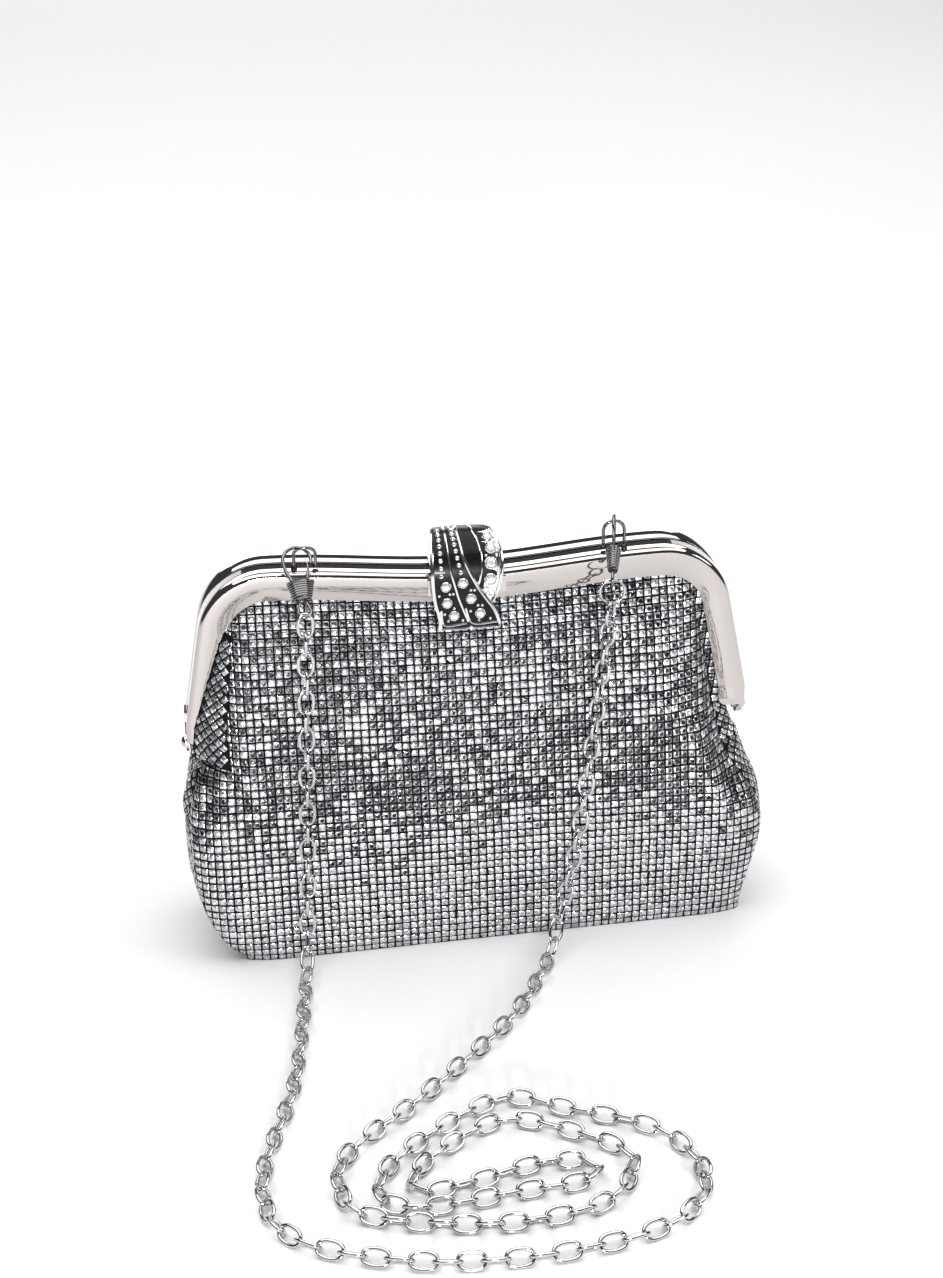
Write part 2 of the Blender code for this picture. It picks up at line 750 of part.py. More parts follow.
def hook_eye(name, place):
    """The small ring below the collar, in the plane of the hook."""
    drop = EYE_R + EYE_WIRE_R + GAP
    turn = Matrix.Rotation(math.radians(90), 4, "X")
    return ring(name, EYE_R, EYE_WIRE_R, bright_wire(), place @ Matrix.Translation((0, 0, -drop)) @ turn)


def jump_ring(eye):
    """The large ring that hangs in the right hook's eye and faces the front."""
    middle = eye.matrix_world.translation - Vector((0, 0, JUMP_R))
    placing = Matrix.Translation(middle) @ Matrix.Rotation(math.radians(90), 4, "X")
    return ring("jump_ring", JUMP_R, JUMP_WIRE_R, bright_wire(), placing)


def strap_fittings():
    for index, word in enumerate(("left", "right")):
        bail(f"bail_{word}", index)
        place = hook_place(index)
        hook_wire(f"hook_{word}", place)
        hook_gate(f"hook_gate_{word}", place)
        hook_collar(f"hook_collar_{word}", place)
        eye = hook_eye(f"hook_eye_{word}", place)
    jump_ring(eye)


def chain():
    points = smooth_route(CHAIN_ROUTE, CHAIN_POINTS)
    for point in points:
        point.z = max(point.z, CHAIN_LIE_Z)
    return add("chain", wire_curve("chain", points, CHAIN_R), bright_wire())


# ---------------------------------------------------------------- soft body


def sheet_mesh(name, rows):
    """An open sheet through rows of points."""
    work = bmesh.new()
    grid = [[work.verts.new(p) for p in row] for row in rows]
    for low, high in zip(grid, grid[1:]):
        for a, b, c, d in zip(low, low[1:], high[1:], high):
            work.faces.new((a, b, c, d))
    data = finished_mesh(name, work)
    data.shade_smooth()
    return data


def thicken(target, thickness, inward=1):
    step = target.modifiers.new("thickness", "SOLIDIFY")
    step.thickness = thickness
    step.offset = -inward
    step.use_even_offset = False


def panel(name, facing, low_z, high_z, behind, finish, rows, half=1.0):
    """A panel of the front or the rear, its face moved behind metres inwards.

    It runs from low_z up to high_z, or into the frame's channel where high_z is None.
    """
    grid = []
    for j in range(rows + 1):
        row = []
        for i in range(PANEL_COLUMNS + 1):
            u = (2 * i / PANEL_COLUMNS - 1) * half
            channel = edge_height(u * PANEL_HALF_TOP, CHANNEL_INSET + behind)
            top = channel if high_z is None else high_z
            z = low_z + (top - low_z) * j / rows
            x = u * (half_width(z) - behind * 0.9)
            depth = panel_depth(x, z) - behind
            row.append((x, facing * depth, z))
        grid.append(row if facing < 0 else row[::-1])
    made = add(name, sheet_mesh(name, grid), finish)
    thicken(made, FABRIC)
    return made


def gusset(name, side):
    """The lower side wall, from the base up to the hinge."""
    grid = []
    low_z = BASE_THICK + GAP
    for j in range(11):
        z = low_z + (GUSSET_LOW_TOP_Z - low_z) * j / 10
        bulge = between(z, GUSSET_BULGES)
        row = []
        for i in range(9):
            w = 2 * i / 8 - 1
            x = half_width(z) + FABRIC + GAP + bulge * (1 - w * w)
            row.append((side * x, w * side * (side_depth(z) - 0.0012), z))
        grid.append(row)
    made = add(name, sheet_mesh(name, grid), glitter_fabric())
    thicken(made, FABRIC)
    return made


def gusset_fold(name, side):
    """The upper side wall, folded in between the two halves of the closed frame."""
    grid = []
    low_z, high_z = GUSSET_FOLD_Z
    for j in range(9):
        z = low_z + (high_z - low_z) * j / 8
        outer = arm_edge(z, PLATE_WIDTH)
        fold = FOLD_IN[0] + (FOLD_IN[1] - FOLD_IN[0]) * j / 8
        row = []
        for w in (-1, -0.5, 0, 0.5, 1):
            row.append((side * (outer - fold * (1 - abs(w))), w * side * FOLD_HALF_Y, z))
        grid.append(row)
    made = add(name, sheet_mesh(name, grid), glitter_fabric())
    thicken(made, FABRIC)
    return made


def rounded_rectangle(half_x, half_y, radius):
    points = []
    for cx, cy, start in ((1, 1, 0), (-1, 1, 90), (-1, -1, 180), (1, -1, 270)):
        centre = (cx * (half_x - radius), cy * (half_y - radius))
        points += arc(centre, radius, start, start + 90, 5)
    return points


def base_panel():
    outline = rounded_rectangle(BASE_HALF[0] - 0.0005, BASE_HALF[1] - 0.0005, 0.006)
    made = add("base_panel", flat_outline("base_panel", outline, BASE_THICK / 2), glitter_fabric())
    made.location.z = BASE_THICK / 2
    return made


def base_board():
    outline = rounded_rectangle(BASE_HALF[0] - 0.006, BASE_HALF[1] - 0.0055, 0.005)
    made = add("base_board", flat_outline("base_board", outline, BOARD_HALF_THICK), grey_board())
    made.location.z = BASE_THICK + GAP + BOARD_HALF_THICK
    return made


def tub_ring(z, around):
    """A squarish ring of points inside the panels and gussets at height z."""
    wide = half_width(z) - 0.0035
    deep = side_depth(z) - LINING_BEHIND
    ring_points = []
    for a in angles(0, 360, around)[:-1]:
        c = math.cos(a)
        s = math.sin(a)
        corner = (abs(c) ** TUB_SQUARE + abs(s) ** TUB_SQUARE) ** (-1 / TUB_SQUARE)
        ring_points.append((wide * c * corner, deep * s * corner, z))
    return ring_points


def lining_tub():
    """The lower lining: a cup with an open top, as rounded rings joined from the floor up."""
    work = bmesh.new()
    rings = [tub_ring(z, around=36) for z in TUB_HEIGHTS]
    loops = [[work.verts.new(p) for p in ring_points] for ring_points in rings]
    for low, high in zip(loops, loops[1:]):
        for a, b, c, d in zip(low, low[1:] + low[:1], high[1:] + high[:1], high):
            work.faces.new((a, b, c, d))
    work.faces.new(list(reversed(loops[0])))
    made = add("lining_tub", finished_mesh("lining_tub", work), lining_cloth())
    thicken(made, FABRIC)
    return made


def slip_pocket():
    """A flat pocket on the front lining."""
    grid = []
    for j in range(7):
        z = POCKET_Z[0] + (POCKET_Z[1] - POCKET_Z[0]) * j / 6
        row = []
        for i in range(9):
            x = POCKET_HALF_WIDTH * (2 * i / 8 - 1)
            row.append((x, -(panel_depth(x, z) - POCKET_BEHIND), z))
        grid.append(row)
    made = add("slip_pocket", sheet_mesh("slip_pocket", grid), lining_cloth())
    thicken(made, FABRIC)
    return made


def soft_body():
    low_z = BASE_THICK + GAP
    fold_top = FOLD_HIGH_Z - GAP
    cloth = glitter_fabric()
    inside = lining_cloth()
    panel("front_panel", -1, low_z, None, 0.0, cloth, rows=18)
    panel("rear_panel_lower", 1, low_z, FOLD_LOW_Z, 0.0, cloth, rows=9)
    panel("rear_panel_fold", 1, FOLD_LOW_Z + GAP, fold_top, 0.0, cloth, rows=5, half=0.98)
    panel("rear_panel_upper", 1, FOLD_HIGH_Z, None, 0.0, cloth, rows=6, half=0.965)
    panel("lining_front", -1, FOLD_LOW_Z, None, LINING_BEHIND, inside, rows=8, half=0.93)
    panel("lining_rear_fold", 1, FOLD_LOW_Z, fold_top, LINING_BEHIND, inside, rows=4, half=0.90)
    panel("lining_rear_upper", 1, FOLD_HIGH_Z, None, LINING_BEHIND, inside, rows=5, half=0.90)
    base_panel()
    base_board()
    lining_tub()
    slip_pocket()
    for side, word in ((-1, "left"), (1, "right")):
        gusset(f"gusset_{word}", side)
        gusset_fold(f"gusset_fold_{word}", side)


# ---------------------------------------------------------------- assembly


def build_bag():
    half_frame("front_frame", -1)
    half_frame("rear_frame", 1)
    crimp_strip("front_crimp_strip", -1)
    crimp_strip("rear_crimp_strip", 1)
    hinge_rivet("hinge_rivet_left", -1)
    hinge_rivet("hinge_rivet_right", 1)
    clasp_bracket()
    clasp_pin()
    clasp_catch()
    clasp_flap()
    for number, (x, run, radius) in enumerate(STONES, 1):
        rhinestone(number, x, run, radius)
    strap_fittings()
    chain()
    soft_body()


clear_scene()
PARTS = new_collection(NAME)
CUTTERS = new_collection(NAME + "_cutters")
build_bag()
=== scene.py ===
"""Evening bag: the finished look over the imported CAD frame.

Metres, +Z up, +X right, the front faces -Y. Fabric is built as dense grids of points, which
carry both the black ground cloth and the domed foil squares on it.
"""

import math

import bmesh
import bpy
import numpy as np
from mathutils import Matrix, Vector


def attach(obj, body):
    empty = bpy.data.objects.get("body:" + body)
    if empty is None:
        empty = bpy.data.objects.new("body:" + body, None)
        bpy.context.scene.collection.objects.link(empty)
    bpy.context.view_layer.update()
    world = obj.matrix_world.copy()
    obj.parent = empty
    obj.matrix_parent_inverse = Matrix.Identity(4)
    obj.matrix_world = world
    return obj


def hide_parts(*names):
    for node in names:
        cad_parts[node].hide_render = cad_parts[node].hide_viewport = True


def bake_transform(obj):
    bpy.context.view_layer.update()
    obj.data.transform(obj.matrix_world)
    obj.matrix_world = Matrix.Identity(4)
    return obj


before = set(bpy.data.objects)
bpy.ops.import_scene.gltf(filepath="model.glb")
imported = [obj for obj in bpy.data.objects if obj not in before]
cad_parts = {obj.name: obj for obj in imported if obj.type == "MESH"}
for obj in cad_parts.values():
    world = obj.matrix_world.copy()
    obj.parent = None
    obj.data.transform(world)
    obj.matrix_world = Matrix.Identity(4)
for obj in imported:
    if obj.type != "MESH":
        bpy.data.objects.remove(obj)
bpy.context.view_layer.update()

MM = 0.001

# Camera, set round the point it looks at
AIM = (0.0025, 0.0, 0.1127)
DISTANCE = 0.790
FROM_LEFT = math.radians(6.4)
FROM_ABOVE = math.radians(24.0)
ROLL = math.radians(-1.34)
LENS = 60.0

# Chain: oval links along its route
LINK_LENGTH = 10.0 * MM
LINK_WIDTH = 6.6 * MM
LINK_WIRE = 1.33 * MM
LINK_PLAY = 0.04 * MM
PITCH = LINK_LENGTH - 2 * LINK_WIRE - LINK_PLAY
CHAIN_LIE_Z = 0.0034
LINK_FLOOR_Z = 0.0028
CHAIN_START = (-0.05915, -0.02776, 0.13840)
CHAIN_END = (0.05115, -0.02306, 0.13398)
# Where the chain lies on the floor, in millimetres
CHAIN_ON_FLOOR = [(-67, -50), (-74, -112), (-87, -168), (-80, -191), (-44, -208), (4, -211), (42, -200)]
CHAIN_ON_FLOOR += [(53, -182), (44, -157), (14, -140), (-3, -131.5), (-28, -145), (-48, -165), (-50, -179)]
CHAIN_ON_FLOOR += [(-38, -184), (-5, -180.5), (17, -177.5), (20.5, -169.5), (4, -167.5), (-20, -174)]
CHAIN_ON_FLOOR += [(-39, -176.5), (-39, -168), (-22, -151), (-5, -143.5), (15, -153), (32, -169), (22, -188)]
CHAIN_ON_FLOOR += [(-2, -195), (-35, -192), (-59, -182), (-62, -160), (-30, -125), (5, -84), (23, -50)]
CHAIN_ROUTE = [CHAIN_START, (-0.0640, -0.0336, 0.0340), (-0.0655, -0.0375, 0.0120)]
CHAIN_ROUTE += [(x * MM, y * MM, CHAIN_LIE_Z) for x, y in CHAIN_ON_FLOOR]
CHAIN_ROUTE += [(0.0290, -0.0380, 0.0140), (0.0360, -0.0336, 0.0400), CHAIN_END]

# Frame, as in the CAD
HINGE_Z = 0.079
ARM_END_Z = 0.0832
ARM_BEND_Z = 0.090
ARM_X = 0.1045
ARM_LEAN = math.radians(10)
SHOULDER_X = 0.0725
SHOULDER_R = 0.0255
TOP_Z = 0.148
TOP_DIP = 0.0046
PLATE_WIDTH = 0.0104
PLATE_FRONT = 0.0109
SHEET_METAL = 0.0009
RIM_BACK = 0.0012
RIM_ROUND = 0.0018
CORNER_R = 0.0034
CHANNEL_INSET = 0.0045
EAR_INNER_X = (0.1028, 0.1042)
EAR_THICK = 0.0010

# Fabric body
EDGE_Y = 0.0095
FABRIC = 0.0006
FOIL_PITCH = 2.95 * MM
FOIL_FILL = 0.82
FOIL_RISE = 0.17 * MM
FOIL_LEAN = 0.075 * MM
BIAS = math.radians(45)
BODY_TWIST = math.radians(2.4)
GUSSET_TOP_Z = 0.0705
FOLD_FOOT_Z = 0.0695
PANEL_TOP_Z = 0.1400
LINING_BEHIND = 0.003

# Clasp and strap fittings, as in the CAD
CLASP_THICK = 0.0022
CLASP_FACE_Y = -0.016
CLASP_FOOT_Z = 0.124
CLASP_ARCH_Z = 0.143
CLASP_ARCH_R = 0.0145
CLASP_RUN = 0.0524
PIN_Y = 0.007
PIN_Z = 0.1492
STONES = [
    (-0.0081, 0.0168, 0.0015),
    (-0.0078, 0.0105, 0.0015),
    (-0.0054, 0.0054, 0.0015),
    (-0.0019, 0.0179, 0.0015),
    (0.0009, 0.0117, 0.0015),
    (0.0041, 0.0058, 0.0015),
    (0.0081, 0.0350, 0.0015),
    (0.0088, 0.0302, 0.0015),
    (0.0085, 0.0248, 0.0017),
    (0.0081, 0.0189, 0.0017),
    (0.0063, 0.0148, 0.0010),
]
BAIL_X = (-0.0577, 0.0548)
BAIL_LEAN = (math.radians(29), math.radians(5))
BAIL_FOOT_Y = -0.005
BAIL_FOOT_LIFT = 0.0006
BAIL_HALF_WIDTH = 0.00385
BAIL_HEIGHT = 0.0104
HOOK_LOOP_R = 0.005
HOOK_LOOP_Z = 0.0169
COLLAR_LENGTH = 0.0086
JUMP_CENTRE = (0.05115, -0.02306, 0.13798)
JUMP_R = 0.0045


# ---- numbers and curves


def smooth(t):
    t = np.clip(t, 0.0, 1.0)
    return t * t * (3 - 2 * t)


def quarter(t):
    """Rises like a quarter of a circle: upright at 0, level at 1."""
    t = np.clip(t, 0.0, 1.0)
    return np.sqrt(1 - (1 - t) ** 2)


def curve_through(knots):
    """A smooth function of one number through the (at, value) knots, level beyond them."""
    at = np.array([k[0] for k in knots], float)
    value = np.array([k[1] for k in knots], float)
    slope = np.gradient(value, at)
    slope[0] = slope[-1] = 0.0

    def evaluate(x):
        x = np.clip(x, at[0], at[-1])
        i = np.clip(np.searchsorted(at, x) - 1, 0, len(at) - 2)
        span = at[i + 1] - at[i]
        t = (x - at[i]) / span
        rise = value[i + 1] - value[i]
        ease = t * t * (3 - 2 * t)
        start = slope[i] * span * (t - 2 * t * t + t * t * t)
        end = slope[i + 1] * span * (t * t * t - t * t)
        return value[i] + rise * ease + start + end

    return evaluate


def catmull(points, steps):
    """Points on a centripetal Catmull-Rom curve through the given ones."""
    knots = [Vector(p) for p in points]
    knots = [2 * knots[0] - knots[1]] + knots + [2 * knots[-1] - knots[-2]]
    made = []
    for p0, p1, p2, p3 in zip(knots, knots[1:], knots[2:], knots[3:]):
        t1 = (p1 - p0).length ** 0.5
        t2 = t1 + (p2 - p1).length ** 0.5
        t3 = t2 + (p3 - p2).length ** 0.5
        for i in range(steps):
            t = t1 + (t2 - t1) * i / steps
            a1 = p0 * ((t1 - t) / t1) + p1 * (t / t1)
            a2 = p1 * ((t2 - t) / (t2 - t1)) + p2 * ((t - t1) / (t2 - t1))
            a3 = p2 * ((t3 - t) / (t3 - t2)) + p3 * ((t - t2) / (t3 - t2))
            b1 = a1 * ((t2 - t) / t2) + a2 * (t / t2)
            b2 = a2 * ((t3 - t) / (t3 - t1)) + a3 * ((t - t1) / (t3 - t1))
            made.append(b1 * ((t2 - t) / (t2 - t1)) + b2 * ((t - t1) / (t2 - t1)))
    made.append(knots[-2])
    return made


def chord_walk(points, step):
    """Points along a line, each one step in a straight line from the last."""
    walked = [points[0].copy()]
    for a, b in zip(points, points[1:]):
        while (b - walked[-1]).length >= step:
            low, high = 0.0, 1.0
            for _ in range(20):
                middle = (low + high) / 2
                if (a.lerp(b, middle) - walked[-1]).length < step:
                    low = middle
                else:
                    high = middle
            walked.append(a.lerp(b, high))
            a = walked[-1]
    return walked


def arc(centre, radius, start, end, count):
    """Points on an arc in a plane, its angles in degrees."""
    made = []
    for i in range(count + 1):
        a = math.radians(start + (end - start) * i / count)
        made.append((centre[0] + radius * math.cos(a), centre[1] + radius * math.sin(a)))
    return made


def circle(count, offset=0.0):
    """(cosine, sine) at equal steps round a circle."""
    angles = [math.tau * (k + offset) / count for k in range(count)]
    return [(math.cos(a), math.sin(a)) for a in angles]


# ---- materials


def new_material(name):
    """A procedural material, its node tree and its shader."""
    made = bpy.data.materials.new(name)
    made.use_nodes = True
    return made, made.node_tree, made.node_tree.nodes["Principled BSDF"]


def feed(tree, node, inputs):
    """Sets inputs by name or number: an output is linked, any other value is stored."""
    for key, value in inputs.items():
        if isinstance(value, bpy.types.NodeSocket):
            tree.links.new(value, node.inputs[key])
        else:
            node.inputs[key].default_value = value


def add_node(tree, kind, inputs, **settings):
    made = tree.nodes.new("ShaderNode" + kind)
    for name, value in settings.items():
        setattr(made, name, value)
    feed(tree, made, inputs)
    return made


def maths(tree, operation, first, second):
    return add_node(tree, "Math", {0: first, 1: second}, operation=operation).outputs[0]


def mix(tree, share, first, second, blend="MIX"):
    inputs = {0: share, 6: first, 7: second}
    return add_node(tree, "Mix", inputs, data_type="RGBA", blend_type=blend).outputs[2]


def ramp(tree, source, stops):
    """A colour ramp with (place, colour) stops."""
    made = add_node(tree, "ValToRGB", {0: source})
    elements = made.color_ramp.elements
    while len(elements) < len(stops):
        elements.new(0.5)
    for element, (place, colour) in zip(elements, stops):
        element.position = place
        element.color = (*colour, 1)
    return made.outputs[0]


def noise(tree, coordinate, scale, detail=2.0):
    inputs = {"Vector": coordinate, "Scale": scale, "Detail": detail}
    return add_node(tree, "TexNoise", inputs).outputs["Fac"]


def bump(tree, height, strength, distance):
    inputs = {"Height": height, "Strength": strength, "Distance": distance}
    return add_node(tree, "Bump", inputs).outputs["Normal"]


def object_space(tree):
    return add_node(tree, "TexCoord", {}).outputs["Object"]


def fabric_space(tree):
    """The cloth's own coordinates: one unit is one foil square."""
    return add_node(tree, "UVMap", {}, uv_map="fabric").outputs[0]


def foil_material():
    """Silver foil squares: a tone for each square, fine glitter and a pressed dimple."""
    made, tree, shader = new_material("silver_foil")
    square = add_node(tree, "Attribute", {}, attribute_name="tile")
    parts = add_node(tree, "SeparateColor", {0: square.outputs["Color"]})
    # The tile tone also carries painted highlight and painted shade, set by position in foil().
    tone, dimple, tint = parts.outputs[0], parts.outputs[1], parts.outputs[2]
    cloth = fabric_space(tree)
    flakes = add_node(tree, "TexVoronoi", {"Scale": 5.0, "Vector": cloth})
    flake = add_node(tree, "SeparateColor", {0: flakes.outputs["Color"]})
    grain = maths(tree, "MULTIPLY", flake.outputs[0], 0.55)
    light = maths(tree, "ADD", maths(tree, "MULTIPLY", tone, 0.60), grain)
    stops = [(0.10, (0.06, 0.06, 0.07)), (0.5, (0.46, 0.465, 0.48)), (0.95, (0.96, 0.96, 0.96))]
    within = add_node(tree, "VectorMath", {0: cloth}, operation="FRACTION").outputs[0]
    off = add_node(tree, "VectorMath", {0: within, 1: (0.56, 0.46, 0.0)}, operation="DISTANCE")
    rim = maths(tree, "MULTIPLY", maths(tree, "SUBTRACT", 0.29, off.outputs["Value"]), 14.0)
    spot = maths(tree, "MULTIPLY", add_node(tree, "Clamp", {0: rim}).outputs[0], dimple)
    dark = mix(tree, spot, ramp(tree, light, stops), (0.012, 0.012, 0.016, 1))
    cool = mix(tree, maths(tree, "MULTIPLY", tint, 0.8), dark, (0.86, 0.90, 1.0, 1), "MULTIPLY")
    rough = maths(tree, "ADD", maths(tree, "MULTIPLY", flake.outputs[1], 0.22), 0.15)
    facing = bump(tree, flake.outputs[2], 0.6, 0.00010)
    feed(tree, shader, {"Base Color": cool, "Roughness": rough, "Metallic": 0.92, "Normal": facing})
    return made


def ground_material():
    """The black ground cloth between the squares: a fine knit with a slight sheen."""
    made, tree, shader = new_material("black_ground_cloth")
    cloth = fabric_space(tree)
    ribs = add_node(tree, "TexWave", {"Scale": 3.0, "Distortion": 1.5, "Vector": cloth})
    fuzz = noise(tree, cloth, 9.0, 3.0)
    height = maths(tree, "ADD", ribs.outputs["Fac"], fuzz)
    colour = ramp(tree, fuzz, [(0.3, (0.002, 0.002, 0.003)), (0.75, (0.010, 0.010, 0.013))])
    feed(tree, shader, {"Base Color": colour, "Roughness": 0.7, "Specular IOR Level": 0.08})
    feed(tree, shader, {"Normal": bump(tree, height, 0.5, 0.0002)})
    return made


def metal_material(name, colour, rough, grime=0.0):
    """Polished metal with faint waviness, an uneven polish and, where asked, duller patches."""
    made, tree, shader = new_material(name)
    place = object_space(tree)
    cloud = noise(tree, place, 60.0, 3.0)
    dull = ramp(tree, cloud, [(0.35, colour), (0.75, tuple(c * (1 - grime) for c in colour))])
    smear = noise(tree, place, 220.0, 4.0)
    level = maths(tree, "ADD", maths(tree, "MULTIPLY", smear, 0.04), rough)
    facing = bump(tree, cloud, 0.05, 0.0003)
    feed(tree, shader, {"Base Color": dull, "Metallic": 1.0, "Roughness": level, "Normal": facing})
    return made


def enamel_material():
    """Black enamel in the clasp's recesses, over a pitted casting."""
    made, tree, shader = new_material("black_enamel")
    pits = noise(tree, object_space(tree), 900.0, 3.0)
    colour = ramp(tree, pits, [(0.35, (0.003, 0.003, 0.003)), (0.8, (0.012, 0.012, 0.012))])
    feed(tree, shader, {"Base Color": colour, "Roughness": 0.30, "Specular IOR Level": 0.12})
    feed(tree, shader, {"Coat Weight": 0.08, "Normal": bump(tree, pits, 0.15, 0.0001)})
    return made


def crystal_material():
    """Foil-backed glass stones."""
    made, tree, shader = new_material("foiled_crystal")
    spark = noise(tree, object_space(tree), 1400.0, 1.0)
    colour = ramp(tree, spark, [(0.3, (0.80, 0.82, 0.86)), (0.65, (1.0, 1.0, 1.0))])
    feed(tree, shader, {"Base Color": colour, "Metallic": 0.55, "Roughness": 0.04})
    feed(tree, shader, {"Coat Weight": 1.0, "Coat Roughness": 0.02})
    return made


def lining_material():
    """Black satin: a fine diagonal weave with soft sheen."""
    made, tree, shader = new_material("satin_lining")
    cloth = fabric_space(tree)
    inputs = {"Scale": 5.0, "Distortion": 0.4, "Vector": cloth}
    twill = add_node(tree, "TexWave", inputs, bands_direction="DIAGONAL")
    blotch = noise(tree, cloth, 0.6, 2.0)
    colour = ramp(tree, blotch, [(0.3, (0.010, 0.010, 0.012)), (0.7, (0.024, 0.023, 0.027))])
    feed(tree, shader, {"Base Color": colour, "Roughness": 0.42, "Sheen Weight": 0.4})
    feed(tree, shader, {"Normal": bump(tree, twill.outputs["Fac"], 0.25, 0.0001)})
    return made


def floor_material():
    made, tree, shader = new_material("studio_floor")
    grain = noise(tree, object_space(tree), 900.0, 2.0)
    colour = ramp(tree, grain, [(0.3, (0.86, 0.86, 0.86)), (0.7, (0.90, 0.90, 0.90))])
    feed(tree, shader, {"Base Color": colour, "Roughness": 0.7})
    return made


FOIL = foil_material()
GROUND = ground_material()
PLATE = metal_material("polished_frame", (0.58, 0.54, 0.525), 0.015, 0.03)
WIRE = metal_material("bright_wire", (0.64, 0.64, 0.64), 0.06, 0.15)
# Painted dark reflection: the hooks, coils, eyes and bails are the chain's silver made darker, standing in
# for the dark surroundings mirrored in their curved wire.
HOOK = metal_material("hook_silver_painted_dark", (0.25, 0.245, 0.24), 0.10, 0.30)
SILVER = metal_material("antique_silver", (0.88, 0.875, 0.87), 0.12, 0.20)
# Dark metal for the small collars; the dark core inside each hook's coil is painted shade.
DARK = metal_material("dark_collar_metal", (0.10, 0.10, 0.105), 0.28, 0.5)
ENAMEL = enamel_material()
CRYSTAL = crystal_material()
LINING = lining_material()


# ---- meshes


def placed(name, data):
    """A new object in the scene."""
    made = bpy.data.objects.new(name, data)
    bpy.context.scene.collection.objects.link(made)
    return made


class Shape:
    """Points and faces of several solids, gathered into one mesh."""

    def __init__(self):
        self.points = []
        self.faces = []
        self.finishes = []

    def add(self, points, faces, finish=0):
        base = len(self.points)
        self.points += [tuple(p) for p in points]
        self.faces += [tuple(base + i for i in face) for face in faces]
        self.finishes += [finish] * len(faces)

    def grid(self, rows, closed=False, ends=False, finish=0):
        """Faces between rows of points. Closed rows are rings, and ends caps them."""
        count = len(rows[0])
        faces = []
        for j in range(len(rows) - 1):
            for i in range(count if closed else count - 1):
                k = (i + 1) % count
                a = j * count
                b = a + count
                faces.append((a + i, a + k, b + k, b + i))
        if ends:
            last = (len(rows) - 1) * count
            faces.append(tuple(reversed(range(count))))
            faces.append(tuple(last + i for i in range(count)))
        self.add([p for row in rows for p in row], faces, finish)

    def tube(self, points, radius, sides=10, closed=False, start=None):
        """A tube along points. radius is a number or one for each point."""
        points = [Vector(p) for p in points]
        count = len(points)
        radii = [radius] * count if isinstance(radius, (int, float)) else radius
        across = Vector(start) if start is not None else None
        rows = []
        for i, point in enumerate(points):
            before = points[i - 1] if i or closed else point
            after = points[(i + 1) % count] if i < count - 1 or closed else point
            along = (after - before).normalized()
            if across is None:
                across = along.orthogonal()
            across = (across - along * across.dot(along)).normalized()
            up = along.cross(across)
            rows.append([point + (across * c + up * s) * radii[i] for c, s in circle(sides)])
        if closed:
            rows.append(rows[0])
        self.grid(rows, closed=True, ends=not closed)

    def lathe(self, profile, place, steps=24, finish=0):
        """A turned solid: (radius, height) points round the Z axis of a matrix."""
        rows = []
        for radius, height in profile:
            ring = [Vector((radius * c, radius * s, height)) for c, s in circle(steps)]
            rows.append([place @ point for point in ring])
        self.grid(rows, closed=True, ends=True, finish=finish)

    def done(self, name, finishes, body, angle=40, hides=(), weld=True):
        """The mesh as an object that rides on a body. finishes is one material or several."""
        finishes = finishes if isinstance(finishes, (list, tuple)) else [finishes]
        data = bpy.data.meshes.new(name)
        data.from_pydata(self.points, [], self.faces)
        for finish in finishes:
            data.materials.append(finish)
        data.polygons.foreach_set("material_index", self.finishes)
        work = bmesh.new()
        work.from_mesh(data)
        if weld:
            bmesh.ops.remove_doubles(work, verts=work.verts, dist=1e-7)
        bmesh.ops.recalc_face_normals(work, faces=work.faces)
        work.to_mesh(data)
        work.free()
        data.shade_smooth()
        data.set_sharp_from_angle(angle=math.radians(angle))
        made = placed(name, data)
        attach(made, body)
        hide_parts(*hides)
        return made


# ---- camera and chain


def make_camera():
    data = bpy.data.cameras.new("camera")
    data.lens = LENS
    data.sensor_width = 36
    made = placed("camera", data)
    level = math.cos(FROM_ABOVE)
    back = Vector(
        (-math.sin(FROM_LEFT) * level, -math.cos(FROM_LEFT) * level, math.sin(FROM_ABOVE))
    )
    right = Vector((math.cos(FROM_LEFT), -math.sin(FROM_LEFT), 0))
    up = back.cross(right)
    turned_right = right * math.cos(ROLL) + up * math.sin(ROLL)
    turned_up = up * math.cos(ROLL) - right * math.sin(ROLL)
    axes = Matrix((turned_right, turned_up, back)).transposed().to_4x4()
    made.matrix_world = Matrix.Translation(Vector(AIM) + back * DISTANCE) @ axes
    bpy.context.scene.camera = made


def chain_line():
    line = catmull(CHAIN_ROUTE, 24)
    for point in line:
        point.z = max(point.z, CHAIN_LIE_Z)
        near_floor = smooth((0.012 - point.z) / 0.008)
        point.z -= (CHAIN_LIE_Z - LINK_FLOOR_Z) * float(near_floor)
    return line


def link_rows(middle, along, across):
    """One oval link with a butt joint in one of its long sides, as rings of points."""
    up = along.cross(across)
    wire = LINK_WIRE / 2
    half_long = LINK_LENGTH / 2 - wire
    half_wide = LINK_WIDTH / 2 - wire
    rows = []
    steps = 24
    for i, (c, s) in enumerate(circle(steps)):
        stretch = (abs(c) ** 2.5 + abs(s) ** 2.5) ** (-1 / 2.5)
        centre = middle + along * (half_long * c * stretch) + across * (half_wide * s * stretch)
        outward = (along * (c / half_long) + across * (s / half_wide)).normalized()
        thin = 0.86 if i == steps // 4 else 1.0
        rows.append([centre + (outward * u + up * v) * wire * thin for u, v in circle(8)])
    rows.append(rows[0])
    return rows


